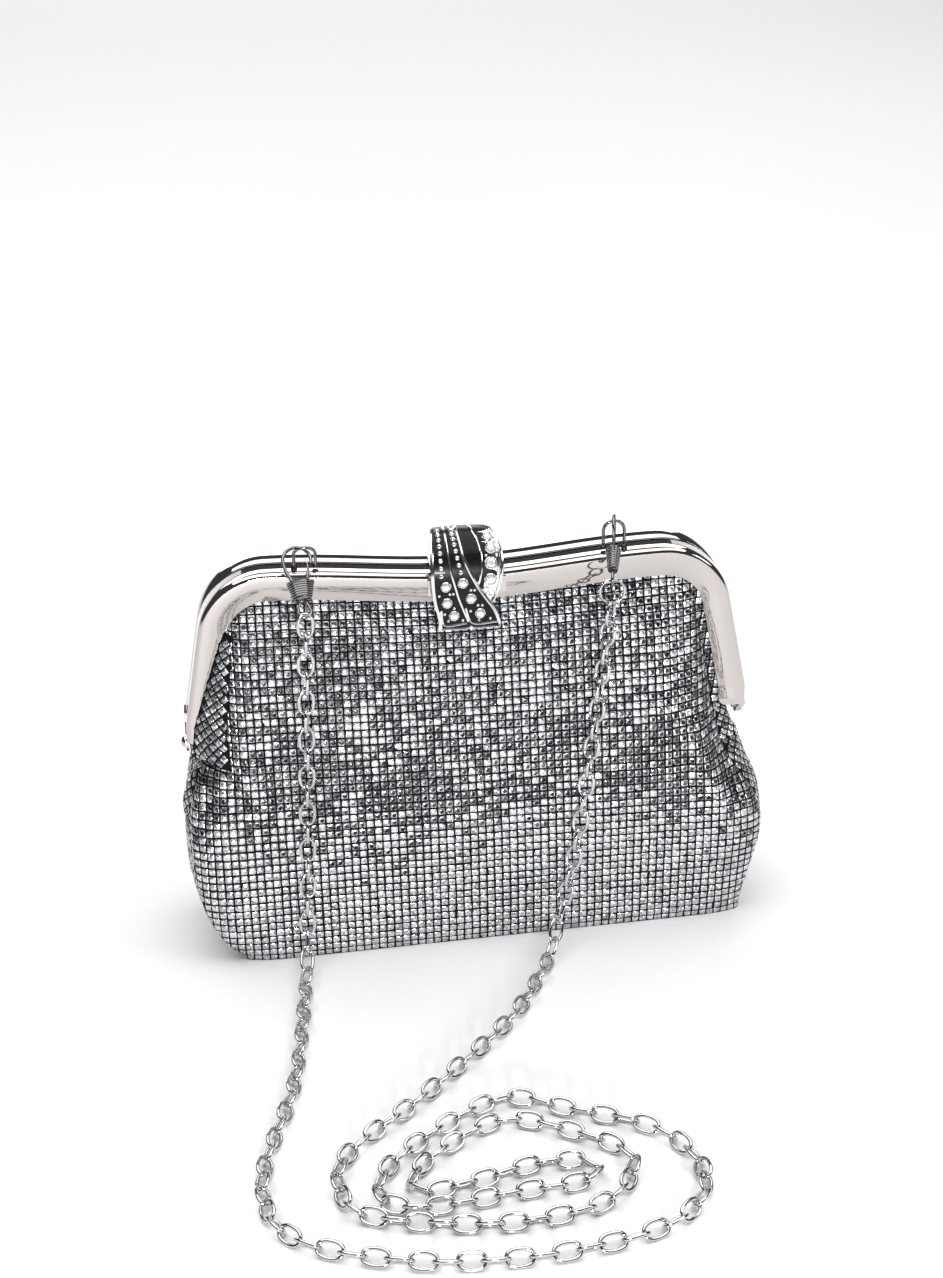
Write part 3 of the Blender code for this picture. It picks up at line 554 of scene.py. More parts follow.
def chain():
    line = chain_line()
    stops = chord_walk(line, PITCH)
    rng = np.random.default_rng(11)
    shape = Shape()
    across = Vector((1, 0, 0))
    for number, (a, b) in enumerate(zip(stops, stops[1:])):
        along = (b - a).normalized()
        across = (across - along * across.dot(along)).normalized()
        lying = float(smooth((0.020 - a.z) / 0.014))
        roll = math.radians(rng.uniform(-9, 9))
        if number % 2:
            roll += math.radians(90)
        level = along.cross(Vector((0, 0, 1)))
        if lying > 0.5 and level.length > 0.1:
            side = level.normalized()
            roll = math.radians((48 if number % 2 else -42) + rng.uniform(-7, 7))
        else:
            side = across
        wide = Matrix.Rotation(roll, 3, along) @ side
        shape.grid(link_rows((a + b) / 2, along, wide), closed=True)
    made = shape.done("chain_links", WIRE, "bag_body", angle=60, hides=["chain"])


# ---- frame


def top_height(x):
    """Height of the frame's outer edge along its top, which dips in the middle."""
    return TOP_Z - TOP_DIP * (1 - smooth(np.abs(x) / SHOULDER_X))


def arm_edge(z, inset):
    """Where an arm's outline, moved in by inset, is at height z."""
    return ARM_X - inset - math.tan(ARM_LEAN) * np.maximum(z - ARM_BEND_Z, 0.0)


def edge_height(x, inset):
    """Height of the frame's outline, moved in by inset, above the point x."""
    x = np.abs(x)
    radius = SHOULDER_R - inset
    arm_top_x = SHOULDER_X + radius * math.cos(ARM_LEAN)
    arm_top_z = TOP_Z - SHOULDER_R + radius * math.sin(ARM_LEAN)
    round_part = np.sqrt(np.maximum(radius**2 - (x - SHOULDER_X) ** 2, 0.0))
    share = np.clip((x - arm_top_x) / (ARM_X - inset - arm_top_x), 0.0, 1.0)
    beyond = arm_top_z + (ARM_BEND_Z - arm_top_z) * share
    height = np.where(x <= arm_top_x, TOP_Z - SHOULDER_R + round_part, beyond)
    return np.where(x <= SHOULDER_X, top_height(x) - inset, height)


def frame_line():
    """The frame's outer edge from one arm's foot to the other's, as (x, z) points."""
    right = [(x, float(top_height(x))) for x in (SHOULDER_X * i / 24 for i in range(24))]
    right += arc((SHOULDER_X, TOP_Z - SHOULDER_R), SHOULDER_R, 90, math.degrees(ARM_LEAN), 26)
    right += [(ARM_X - 0.0008, ARM_BEND_Z + 0.0046), (ARM_X - 0.00008, ARM_BEND_Z + 0.0012)]
    right += [(ARM_X, ARM_BEND_Z - 0.0012)]
    for i in range(11):
        right.append((ARM_X, ARM_END_Z + CORNER_R * (1 - i / 10) ** 1.6))
    left = [(-x, z) for x, z in reversed(right[1:])]
    return left + right


def half_section():
    """Plate, round edge and top rim, as (distance in from the outline, depth) points."""
    middle = (RIM_ROUND, PLATE_FRONT - RIM_ROUND)
    section = [(PLATE_WIDTH, PLATE_FRONT - 0.0002), (PLATE_WIDTH - 0.0002, PLATE_FRONT)]
    section += arc(middle, RIM_ROUND, 90, 180, 8)
    section += [(0, RIM_BACK + 0.0002), (0.0002, RIM_BACK), (SHEET_METAL, RIM_BACK)]
    section += arc(middle, RIM_ROUND - SHEET_METAL, 180, 90, 5)
    section += [(PLATE_WIDTH, PLATE_FRONT - SHEET_METAL)]
    return section


def half_frame(name, facing, body, hides):
    """One half of the frame: the swept plate and rim, and its two hinge ears."""
    line = [Vector((x, 0, z)) for x, z in frame_line()]
    section = half_section()
    rows = []
    for i, point in enumerate(line):
        before = line[max(i - 1, 0)]
        after = line[min(i + 1, len(line) - 1)]
        along = (after - before).normalized()
        inward = Vector((along.z, 0, -along.x))
        above = point.z - ARM_END_Z
        cut = CORNER_R * (1 - float(quarter(above / CORNER_R))) if above < CORNER_R else 0.0
        row = []
        for inset, depth in section:
            inset = min(inset, PLATE_WIDTH - cut)
            row.append(point + inward * inset + Vector((0, facing * depth, 0)))
        rows.append(row)
    shape = Shape()
    shape.grid(rows, closed=True, ends=True)
    inner_x = EAR_INNER_X[0] if facing < 0 else EAR_INNER_X[1]
    for side in (-1, 1):
        hinge_ear(shape, side, facing, inner_x)
    return shape.done(name, PLATE, body, angle=50, hides=hides)


def hinge_ear(shape, side, facing, inner_x):
    """A flat tongue that carries the rivet, its outline in the plane across the hinge."""
    outline = arc((0.0, HINGE_Z), 0.0036, -150, 40, 16)
    outline += [(0.0012, 0.0826), (-0.0016, 0.0868), (-0.0016, ARM_BEND_Z)]
    outline += [(-0.0088, ARM_BEND_Z), (-0.0086, 0.084)]
    rows = []
    for x in (inner_x, inner_x + EAR_THICK):
        rows.append([(side * x, -facing * v, z) for v, z in outline])
    shape.grid(rows, closed=True, ends=True)


def hinge_rivets():
    profile = [(0.0003, 0.0026), (0.0010, 0.00245), (0.0017, 0.0021), (0.0022, 0.0014)]
    profile += [(0.0023, 0.0010), (0.0011, 0.0010), (0.0011, -0.0021)]
    profile += [(0.0020, -0.0021), (0.0020, -0.0028), (0.0014, -0.0030)]
    for side, word in ((-1, "left"), (1, "right")):
        turn = Matrix.Rotation(math.radians(90 * side), 4, "Y")
        shape = Shape()
        shape.lathe(profile, Matrix.Translation((side * ARM_X, 0, HINGE_Z)) @ turn)
        name = f"rivet_{word}"
        shape.done(name, PLATE, "bag_body", hides=[f"hinge_rivet_{word}"])


# ---- clasp


def clasp_section(run):
    """(y, z) and outward normal on the clasp's face, run metres up from its foot."""
    straight = CLASP_ARCH_Z - CLASP_FOOT_Z
    if run <= straight:
        return CLASP_FACE_Y, CLASP_FOOT_Z + run, -1.0, 0.0
    a = math.pi - (run - straight) / CLASP_ARCH_R
    y = CLASP_FACE_Y + CLASP_ARCH_R + CLASP_ARCH_R * math.cos(a)
    return y, CLASP_ARCH_Z + CLASP_ARCH_R * math.sin(a), math.cos(a), math.sin(a)


def on_clasp(x, run, lift=0.0):
    y, z, ny, nz = clasp_section(run)
    return Vector((x, y + ny * lift, z + nz * lift))


def clasp_seat(x, run, lift=0.0):
    """A matrix on the clasp's face: its Z points out and its X across."""
    _, _, ny, nz = clasp_section(run)
    out = Vector((0, ny, nz))
    sideways = Vector((1, 0, 0))
    turn = Matrix((sideways, out.cross(sideways), out)).transposed().to_4x4()
    return Matrix.Translation(on_clasp(x, run, lift)) @ turn


CLASP_LEFT = curve_through(
    [(0, -10.4), (5.5, -10.9), (9.4, -11.9), (13.3, -12.6), (19, -12.9), (32.6, -12.6), (42, -11.4)]
    + [(52.4, -10.8)]
)
CLASP_RIGHT = curve_through(
    [(0, 11.5), (1.8, 11.3), (5.1, 10.1), (8.0, 8.9), (9.6, 8.6), (12.2, 10.0), (16, 11.4), (20.3, 12.3)]
    + [(24.8, 12.8), (28, 12.6), (33, 11.6), (38, 10.2), (42, 9.2), (52.4, 8.6)]
)
# Raised lines on the clasp, as (x, run) in millimetres from its middle and its foot
THICK_RIDGES = [
    [(-10.3, 0.7), (-10.8, 5.5), (-11.8, 9.4), (-12.4, 13.3), (-12.7, 19), (-12.6, 26.7), (-12.3, 32.6)]
    + [(-11.3, 41)],
    [(11.1, 1.6), (10.0, 5.1), (8.6, 8.2), (6.5, 11.4), (4.0, 15.3), (1.8, 19.6), (0.1, 23.4), (-1.4, 27.4)]
    + [(-2.2, 32.6), (-2.7, 37.6), (-2.9, 45)],
    [(8.5, 10.4), (9.8, 12.6), (11.1, 16), (12.0, 20.3), (12.4, 24.8), (12.3, 27.7), (11.3, 33), (9.6, 38.1)]
    + [(8.6, 45)],
]
THIN_RIDGES = [
    [(-0.3, 2.9), (-2.0, 7.5), (-3.5, 11.8), (-4.7, 16.5), (-5.8, 21), (-6.6, 26.7), (-6.9, 32.6)]
    + [(-7.1, 45)],
    [(3.4, 16.6), (4.2, 18.8), (5.0, 23.3), (5.2, 27.8), (4.4, 33.4), (3.2, 38), (2.2, 45)],
    [(-10.0, 7.8), (-9.0, 2.1), (-0.9, 2.3)],
    [(-1.2, 8.2), (1.1, 2.4), (10.6, 2.3)],
    [(-10.2, 0.5), (-0.2, 0.5), (0.7, 1.2), (1.7, 0.5), (11.2, 0.5)],
    [(-4.9, 45), (-4.6, 41.5), (-2.9, 41.0)],
]
BEADS = [(-9.6 + 0.02 * i, 21.0 + 2.75 * i) for i in range(8)]
BEADS += [(-2.6 - 1.9 * (1 - (1 - i / 7) ** 2), 22.0 + 2.6 * i) for i in range(8)]
DOTS = [(-6.8, 13.9), (-5.5, 13.9), (-10.6, 13.4), (0.9, 15.0), (2.2, 15.0), (3.3, 9.0), (4.9, 8.9)]
DOTS += [(-5.3, 8.3), (-8.8, 6.2), (0.6, 6.9), (-7.6, 3.5), (-2.3, 3.5), (3.6, 3.3), (7.7, 3.6)]
DOTS += [(7.9, 12.9), (9.4, 14.0), (10.9, 22.0), (10.7, 27.5), (6.9, 27.5), (10.2, 32.6), (7.3, 32.7)]
# The right band has no enamel between its stones, as (left, right, run)
SILVER_BED = [(7.6, 8.4, 10.6), (6.0, 10.2, 14), (5.0, 11.6, 18), (5.5, 12.2, 23), (5.6, 12.0, 28)]
SILVER_BED += [(5.0, 11.0, 33), (4.2, 10.0, 38), (3.4, 9.0, 43)]


def clasp():
    """The cast ornament: enamelled ribbons that cross, raised rims, beads and set stones."""
    shape = Shape()
    body_rows = []
    face_rows = []
    bed = []
    for i in range(81):
        run = CLASP_RUN / MM * i / 80
        left = float(CLASP_LEFT(run))
        right = float(CLASP_RIGHT(run))
        front = []
        back = []
        face = []
        for k in range(13):
            share = k / 12
            x = (left + (right - left) * share) * MM
            crown = 0.35 * MM * (1 - (2 * share - 1) ** 4)
            front.append(on_clasp(x, run * MM, crown - 0.35 * MM))
            back.append(on_clasp(x, run * MM, -CLASP_THICK))
            face.append(on_clasp(x * 0.97, run * MM, crown - 0.22 * MM))
        body_rows.append(front + back[::-1])
        face_rows.append(face)
    shape.grid(body_rows, closed=True, ends=True, finish=0)
    shape.grid(face_rows[1:-3], finish=1)
    for ridges, radius in ((THICK_RIDGES, 0.72), (THIN_RIDGES, 0.44)):
        for ridge in ridges:
            line = catmull([(x, run, 0) for x, run in ridge], 8)
            points = [on_clasp(p.x * MM, max(p.y, 0.3) * MM, 0.08 * MM) for p in line]
            shape.tube(points, radius * MM, sides=8, start=(1, 0, 0))
    dome = [(1.0, 0.0), (0.94, 0.35), (0.72, 0.70), (0.38, 0.93), (0.06, 1.0)]
    for spots, radius in ((BEADS, 1.02), (DOTS, 0.62)):
        for x, run in spots:
            seat = clasp_seat(x * MM, run * MM, -0.05 * MM)
            shape.lathe([(r * radius * MM, h * radius * MM) for r, h in dome], seat, steps=14)
    bezel = [(1.30, -0.25), (1.36, 0.20), (1.22, 0.42), (1.08, 0.30), (1.0, 0.0), (1.0, -0.25)]
    for x, run, radius in STONES:
        seat = clasp_seat(x, run, 0.0)
        rows = [(r * radius, h * 1.3 * MM) for r, h in bezel]
        shape.lathe(rows, seat, steps=24)
    for left_x, right_x, run in SILVER_BED:
        row = [on_clasp(x * MM, run * MM, 0.10 * MM) for x in np.linspace(left_x, right_x, 9)]
        bed.append(row)
    shape.grid(bed, finish=0)
    barrel = [(0.0019, -0.0076), (0.0021, -0.0074), (0.0021, 0.0074), (0.0019, 0.0076)]
    turn = Matrix.Translation((0, PIN_Y, PIN_Z)) @ Matrix.Rotation(math.radians(90), 4, "Y")
    shape.lathe(barrel, turn, steps=24)
    web = [(0.0060, 0.1500), (0.0078, 0.1500), (0.0080, 0.1532), (0.0058, 0.1528)]
    shape.grid([[(x, y, z) for y, z in web] for x in (-0.0072, 0.0072)], closed=True, ends=True)
    shape.done("clasp_ornament", [SILVER, ENAMEL], "clasp", hides=["clasp_flap"])


def stones():
    """Brilliant-cut stones, with flat facets."""
    shape = Shape()
    rings = ((0.52, 0.78, 8, 0.5), (0.80, 0.58, 8, 0.0), (0.97, 0.28, 8, 0.5), (1.0, 0.0, 8, 0.5))
    for x, run, radius in STONES:
        seat = clasp_seat(x, run, 0.12 * MM)
        rows = []
        for share, height, count, offset in rings:
            row = []
            for c, s in circle(count, offset):
                spot = Vector((c * share, s * share, 0)) * radius
                row.append(seat @ (spot + Vector((0, 0, height * MM * 1.05))))
            rows.append(row)
        shape.grid(rows, closed=True, ends=True)
    hidden = [f"rhinestone_{i:02d}" for i in range(1, len(STONES) + 1)]
    shape.done("clasp_stones", CRYSTAL, "clasp", angle=1, hides=hidden, weld=False)


def clasp_hardware():
    """The CAD's own bracket, catch, pin and crimp strips, in better metal."""
    for name in ("clasp_bracket", "clasp_catch", "clasp_pin", "front_crimp_strip", "rear_crimp_strip"):
        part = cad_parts[name]
        part.data.materials.clear()
        part.data.materials.append(WIRE if name == "clasp_pin" else PLATE)


# ---- strap fittings

HOOKS = {
    "left": ((-0.05948, -0.02398, 0.14181), (0.99619, 0.08716, 0.0), (-0.06477, 0.74032, 0.66913)),
    "right": ((0.05166, -0.0207, 0.14465), (-0.13912, -0.65451, 0.74314), (0.15451, 0.72691, 0.66913)),
}


def hook_place(word):
    """Matrix of a hook: its own Z runs up its length, its own X across its loop."""
    origin, wide, up = (Vector(v) for v in HOOKS[word])
    axes = Matrix((wide, up.cross(wide), up)).transposed().to_4x4()
    return Matrix.Translation(origin) @ axes


def hook(word):
    """A snap hook: bent wire, wound tapered collar and the eye below it."""
    place = hook_place(word)
    shape = Shape()
    back = [(-0.0026, 0, 0.0080), (-0.0033, 0, 0.0100), (-0.0044, 0, 0.0125)]
    back += [(u, 0, v) for u, v in arc((0, HOOK_LOOP_Z), HOOK_LOOP_R, 186, -20, 30)]
    shape.tube([place @ p for p in catmull(back, 2)], 0.00064, sides=12)
    shape.done(f"hook_wire_{word}", HOOK, "bag_body", hides=[f"hook_{word}"])

    gate = Shape()
    line = [(0.0027, 0, 0.0093), (0.0034, 0, 0.0128), (0.0035, 0, 0.0159)]
    gate.tube([place @ p for p in catmull(line, 6)], [0.00048] * 12 + [0.00034], sides=10)
    gate_name = f"hook_gate_{word}"
    gate.done(f"gate_wire_{word}", HOOK, f"gate_{word}", hides=[gate_name])

    collar = Shape()
    turns = 9.5
    line = []
    for i in range(int(turns * 20) + 1):
        share = i / (turns * 20)
        a = math.tau * turns * share
        radius = 0.0026 + 0.0021 * share
        spot = (radius * math.cos(a), radius * 0.52 * math.sin(a), 0.0003 + 0.0080 * share)
        line.append(place @ Vector(spot))
    collar.tube(line, 0.00050, sides=8)
    # A dark core fills the coil: painted shade for the inside of the winding.
    core = [(0.0020, 0.0), (0.0024, 0.0003), (0.0044, 0.0083), (0.0036, COLLAR_LENGTH)]
    collar.lathe(core, place @ Matrix.Diagonal((1, 0.52, 1, 1)), steps=20, finish=1)
    collar_name = f"hook_collar_{word}"
    collar.done(f"coil_{word}", [HOOK, DARK], "bag_body", hides=[collar_name])

    eye = Shape()
    line = [(-0.0010, 0, 0.0002), (-0.0018, 0, -0.0018)]
    line += [(u, 0, v) for u, v in arc((0, -0.00325), 0.0024, 190, 350, 14)]
    line += [(0.0018, 0, -0.0018), (0.0010, 0, 0.0002)]
    eye.tube([place @ p for p in catmull(line, 3)], 0.00055, sides=10)
    eye.done(f"eye_{word}", HOOK, "bag_body", hides=[f"hook_eye_{word}"])


def bail(word, index):
    """A wire loop standing on the front rim, in two small collars."""
    lean = BAIL_LEAN[index]
    foot = Vector((BAIL_X[index], BAIL_FOOT_Y, float(top_height(BAIL_X[index])) + BAIL_FOOT_LIFT))
    flat = [(-BAIL_HALF_WIDTH, 0.0002), (-BAIL_HALF_WIDTH, 0.0016)]
    flat += arc((0, BAIL_HEIGHT - BAIL_HALF_WIDTH), BAIL_HALF_WIDTH, 180, 0, 28)
    flat += [(BAIL_HALF_WIDTH, 0.0016), (BAIL_HALF_WIDTH, 0.0002)]
    points = [foot + Vector((u, -v * math.sin(lean), v * math.cos(lean))) for u, v in flat]
    shape = Shape()
    shape.tube(points, 0.0006, sides=12)
    profile = [(0.0009, -0.0006), (0.00115, -0.0004), (0.00115, 0.0006), (0.0008, 0.0010)]
    for side in (-1, 1):
        place = Matrix.Translation(foot + Vector((side * BAIL_HALF_WIDTH, 0, 0)))
        shape.lathe(profile, place, steps=16, finish=1)
    shape.done(f"bail_wire_{word}", [HOOK, DARK], "bag_body", hides=[f"bail_{word}"])


def jump_ring():
    ring = [Vector(JUMP_CENTRE) + Vector((c, 0, s)) * JUMP_R for c, s in circle(48)]
    shape = Shape()
    shape.tube(ring, 0.0005, sides=12, closed=True)
    shape.done("strap_ring", WIRE, "bag_body", hides=["jump_ring"])


# ---- fabric


class Cloth:
    """A sheet of fabric as a dense grid of points, evenly spaced along each row."""

    def __init__(self, points, out, middle=None):
        self.points = self.evened(points)
        steps = np.linalg.norm(np.diff(self.points, axis=1), axis=2)
        self.widths = steps.sum(axis=1)
        self.middles = np.full(len(points), 0.5)
        if middle is not None:
            shares = np.linspace(0, 1, points.shape[1])
            for j, row in enumerate(self.points[..., 0]):
                self.middles[j] = np.interp(middle, row, shares)
        self.wide = float(self.widths.max())
        self.high = self.length(self.points[:, points.shape[1] // 2])
        across = np.gradient(self.points, axis=1)
        upward = np.gradient(self.points, axis=0)
        normals = np.cross(across, upward)
        normals /= np.maximum(np.linalg.norm(normals, axis=2, keepdims=True), 1e-12)
        facing = np.sign((normals * np.array(out)).sum(axis=2).mean())
        self.normals = normals * facing

    @staticmethod
    def length(points):
        return float(np.linalg.norm(np.diff(points, axis=0), axis=1).sum())

    @staticmethod
    def evened(points):
        made = np.empty_like(points)
        for j, row in enumerate(points):
            steps = np.linalg.norm(np.diff(row, axis=0), axis=1)
            travelled = np.concatenate([[0.0], np.cumsum(steps)])
            goal = np.linspace(0, travelled[-1], len(row))
            for axis in range(3):
                made[j, :, axis] = np.interp(goal, travelled, row[:, axis])
        return made

    def share(self, across, upward):
        """(s, t) shares from metres across, from the middle, and metres up."""
        t = upward / self.high
        rows = np.linspace(0, 1, len(self.widths))
        width = np.interp(t, rows, self.widths)
        return np.interp(t, rows, self.middles) + across / width, t

    def at(self, s, t, lift=0.0):
        """Points of the sheet at shares s across and t up, lifted off it by lift."""
        rows, columns = self.points.shape[:2]
        i = np.clip(s, 0, 1) * (columns - 1)
        j = np.clip(t, 0, 1) * (rows - 1)
        i0 = np.minimum(i.astype(int), columns - 2)
        j0 = np.minimum(j.astype(int), rows - 2)
        fi = (i - i0)[..., None]
        fj = (j - j0)[..., None]

        def mixed(values):
            low = values[j0, i0] * (1 - fi) + values[j0, i0 + 1] * fi
            high = values[j0 + 1, i0] * (1 - fi) + values[j0 + 1, i0 + 1] * fi
            return low * (1 - fj) + high * fj

        return mixed(self.points) + mixed(self.normals) * np.asarray(lift)[..., None]


def sheet_object(name, points, faces, uv, finish, tile=None):
    """A mesh of points and faces with the cloth's coordinates and, for foil, its looks."""
    data = bpy.data.meshes.new(name)
    data.from_pydata(points.tolist(), [], faces)
    index = np.empty(len(data.loops), np.int32)
    data.loops.foreach_get("vertex_index", index)
    layer = data.uv_layers.new(name="fabric")
    layer.data.foreach_set("uv", uv[index].astype(np.float32).ravel())
    if tile is not None:
        attribute = data.color_attributes.new("tile", "FLOAT_COLOR", "POINT")
        attribute.data.foreach_set("color", tile.astype(np.float32).ravel())
    data.materials.append(finish)
    data.shade_smooth()
    made = placed(name, data)
    return made


def ground(name, cloth, finish, step=2, keep=None, thick=FABRIC):
    """The plain sheet itself, with its thickness inwards."""
    points = cloth.points[::step, ::step]
    rows, columns = points.shape[:2]
    s, t = np.meshgrid(np.linspace(0, 1, columns), np.linspace(0, 1, rows))
    uv = np.stack([s * cloth.wide, t * cloth.high], axis=-1).reshape(-1, 2) / FOIL_PITCH
    index = np.arange(rows * columns).reshape(rows, columns)
    faces = np.stack([index[:-1, :-1], index[:-1, 1:], index[1:, 1:], index[1:, :-1]], axis=-1)
    faces = faces.reshape(-1, 4)
    flat = points.reshape(-1, 3)
    if keep is not None:
        faces = faces[keep(flat)[faces].all(axis=1)]
    normal = np.cross(flat[faces[:, 1]] - flat[faces[:, 0]], flat[faces[:, 3]] - flat[faces[:, 0]])
    wanted = cloth.normals[::step, ::step].reshape(-1, 3)[faces[:, 0]]
    if (normal * wanted).sum() < 0:
        faces = faces[:, ::-1]
    used, faces = np.unique(faces, return_inverse=True)
    faces = faces.reshape(-1, 4)
    made = sheet_object(name, flat[used], faces.tolist(), uv[used], finish)
    depth = made.modifiers.new("thickness", "SOLIDIFY")
    depth.thickness = thick
    depth.offset = -1
    return made


SQUARE_RING = [(1, 0.84), (0.84, 1), (-0.84, 1), (-1, 0.84)]
SQUARE_RING += [(-x, -y) for x, y in SQUARE_RING]


# shade is painted shade: a tone offset that darkens squares on parts that lie in shadow.
def foil(name, cloth, seed, lean=0.0, keep=None, spots=None, border=0.5, shade=0.0):
    """Domed foil squares all over a sheet, their rows turned by lean from its own rows."""
    rng = np.random.default_rng(seed)
    reach = int((cloth.wide + cloth.high) / FOIL_PITCH) + 2
    i, j = np.meshgrid(np.arange(-reach, reach), np.arange(-reach, reach))
    cell = np.stack([i.ravel(), j.ravel()], axis=-1) + 0.5
    c, s = math.cos(lean) * FOIL_PITCH, math.sin(lean) * FOIL_PITCH

    def turned(grid):
        return grid[..., 0] * c - grid[..., 1] * s, grid[..., 0] * s + grid[..., 1] * c

    s_mid, t_mid = cloth.share(*turned(cell))
    margin = border * FOIL_PITCH * (math.cos(lean) + abs(math.sin(lean)))
    side = margin / cloth.wide
    inside = (s_mid > side) & (s_mid < 1 - side)
    inside &= (t_mid > margin / cloth.high) & (t_mid < 1 - margin / cloth.high)
    if keep is not None:
        inside &= keep(cloth.at(s_mid, t_mid))
    cell = cell[inside]
    centres = cloth.at(s_mid[inside], t_mid[inside])
    ring = np.array(SQUARE_RING, float)
    local = np.concatenate([[[0.0, 0.0]], ring * 0.84, ring])
    rise = np.array([1.0] + [0.94] * 8 + [0.0] * 8) * FOIL_RISE
    count = len(cell)
    size = FOIL_FILL / 2 * rng.uniform(0.93, 1.05, (count, 1, 1))
    spread = local[None] * size + rng.normal(0, 0.012, (count, 1, 2))
    uv = cell[:, None, :] + spread
    tilt = rng.normal(0, 1, (count, 2, 1)) * FOIL_LEAN
    top = np.array([1.0] + [1.0] * 8 + [0.25] * 8)
    lift = rise[None, :] + (local[None, :, 0] * tilt[:, 0] + local[None, :, 1] * tilt[:, 1]) * top
    points = cloth.at(*cloth.share(*turned(uv)), lift).reshape(-1, 3)
    x, z = centres[:, 0], centres[:, 2]
    # Painted highlight: squares higher up the body are lighter and spread more in tone, and a patch in the
    # upper middle is lighter still, where the key light's highlights fall. The shade argument darkens the
    # squares as painted shade.
    upper_highlight_share = smooth((z - 0.034) / 0.035)
    highlight_patch = np.exp(-(((x - 0.012) / 0.034) ** 2) - ((z - 0.108) / 0.020) ** 2)
    tone = 0.52 + rng.normal(0, 1, count) * (0.07 + 0.22 * upper_highlight_share) + 0.12 * upper_highlight_share + 0.26 * highlight_patch
    dimple = np.zeros(count) if spots is None else spots(centres, rng)
    tone = np.clip(tone - 0.50 * dimple + shade, 0.0, 1.0)
    tint = (rng.uniform(0, 1, count) > 0.80) * rng.uniform(0.3, 1.0, count)
    tile = np.repeat(np.stack([tone, dimple, tint, np.ones(count)], axis=-1), 17, axis=0)
    quads = np.array([(1 + k, 9 + k, 9 + (k + 1) % 8, 1 + (k + 1) % 8) for k in range(8)])
    fans = np.array([(0, 1 + k, 1 + (k + 1) % 8) for k in range(8)])
    base = (np.arange(count) * 17)[:, None, None]
    quads = (quads[None] + base).reshape(-1, 4)
    fans = (fans[None] + base).reshape(-1, 3)
    faces = quads.tolist() + fans.tolist()
    return sheet_object(name, points, faces, uv.reshape(-1, 2), FOIL, tile)


# The body's outline by height: half its depth, half its depth at the seams, and each seam's distance out
half_depth = curve_through(
    [(0.0, 0.0268), (0.003, 0.0278), (0.008, 0.0286), (0.018, 0.0292), (0.036, 0.0297), (0.058, 0.0280)]
    + [(0.079, 0.0245), (0.100, 0.0204), (0.118, 0.0165), (0.136, 0.0112), (0.150, 0.0105)]
)
side_depth = curve_through(
    [(0.0, 0.0232), (0.010, 0.0236), (0.036, 0.0228), (0.058, 0.0180), (0.0765, 0.0125), (0.090, EDGE_Y)]
)
seam_right = curve_through(
    [(0.0, 0.1012), (0.018, 0.1048), (0.030, 0.1078), (0.043, 0.1086), (0.052, 0.1056), (0.060, 0.1002)]
    + [(0.070, 0.0950), (0.0800, 0.0930), (0.0860, 0.0928)]
)
seam_left = curve_through(
    [(0.0, 0.0900), (0.006, 0.0955), (0.018, 0.1020), (0.036, 0.1052), (0.050, 0.1058), (0.062, 0.1046)]
    + [(0.072, 0.1012), (0.0800, 0.0968), (0.0860, 0.0948)]
)
# Creases in the front and rear panels, as (from, to, width, depth) in the plane of the panel.
CREASES = [
    ((0.0880, 0.0820), (0.1010, 0.0480), 0.0040, 0.0026),
    ((0.0820, 0.0800), (0.0930, 0.0480), 0.0045, -0.0010),
    ((0.0760, 0.0800), (0.0820, 0.0560), 0.0050, 0.0008),
    ((-0.0955, 0.0815), (-0.1000, 0.0560), 0.0034, 0.0026),
    ((-0.0900, 0.0790), (-0.0880, 0.0520), 0.0050, 0.0012),
    ((-0.0840, 0.0800), (-0.0760, 0.0600), 0.0055, -0.0008),
]


def creases(x, z):
    """How far the creases push a panel in at (x, z)."""
    pushed = np.zeros_like(x)
    for (x0, z0), (x1, z1), width, depth in CREASES:
        run = np.array([x1 - x0, z1 - z0])
        share = ((x - x0) * run[0] + (z - z0) * run[1]) / (run**2).sum()
        within = np.clip(share, 0, 1)
        off = np.hypot(x - x0 - run[0] * within, z - z0 - run[1] * within)
        fade = smooth(share / 0.15) * smooth((1.15 - share) / 0.5)
        pushed += depth * fade * np.exp(-((off / width) ** 2))
    return pushed


def waves(x, z):
    """Slow unevenness of soft cloth."""
    free = smooth((z - 0.004) / 0.03) * smooth((0.128 - z) / 0.03)
    slow = np.sin(x * 62 + z * 35 + 0.8) * 0.00035 + np.sin(x * 118 - z * 74) * 0.00020
    return free * (slow + np.sin(z * 150 + x * 20) * 0.00015)


def seam_x(x, z):
    """Where the side seam on x's side is at height z."""
    return np.where(x < 0, seam_left(z), seam_right(z))


def panel_depth(x, z, behind=0.0):
    """How far a panel's face is from the middle plane."""
    seam = seam_x(x, z)
    full = half_depth(z)
    side = side_depth(z)
    low = side + (full - side) * quarter((seam - np.abs(x)) / 0.017)
    right = smooth((x - 0.050) / 0.030)
    clear = np.minimum(edge_height(x, PLATE_WIDTH) - z, arm_edge(z, PLATE_WIDTH) - np.abs(x))
    high = EDGE_Y + (full - EDGE_Y) * quarter((clear + 0.0012 - 0.0046 * right) / (0.0135 + 0.013 * right))
    upper = smooth((z - 0.074) / 0.014)
    depth = low + (high - low) * upper
    soft = smooth((depth - EDGE_Y) / 0.004)
    return depth - behind + (waves(x, z) - creases(x, z)) * soft


def twist(points):
    """Turns the foot of the body a little against the frame, and leaves its top."""
    x, y, z = points[..., 0], points[..., 1], points[..., 2]
    angle = BODY_TWIST * smooth((0.074 - z) / 0.070)
    c = np.cos(angle)
    s = np.sin(angle)
    return np.stack([x * c - y * s, x * s + y * c, z], axis=-1)


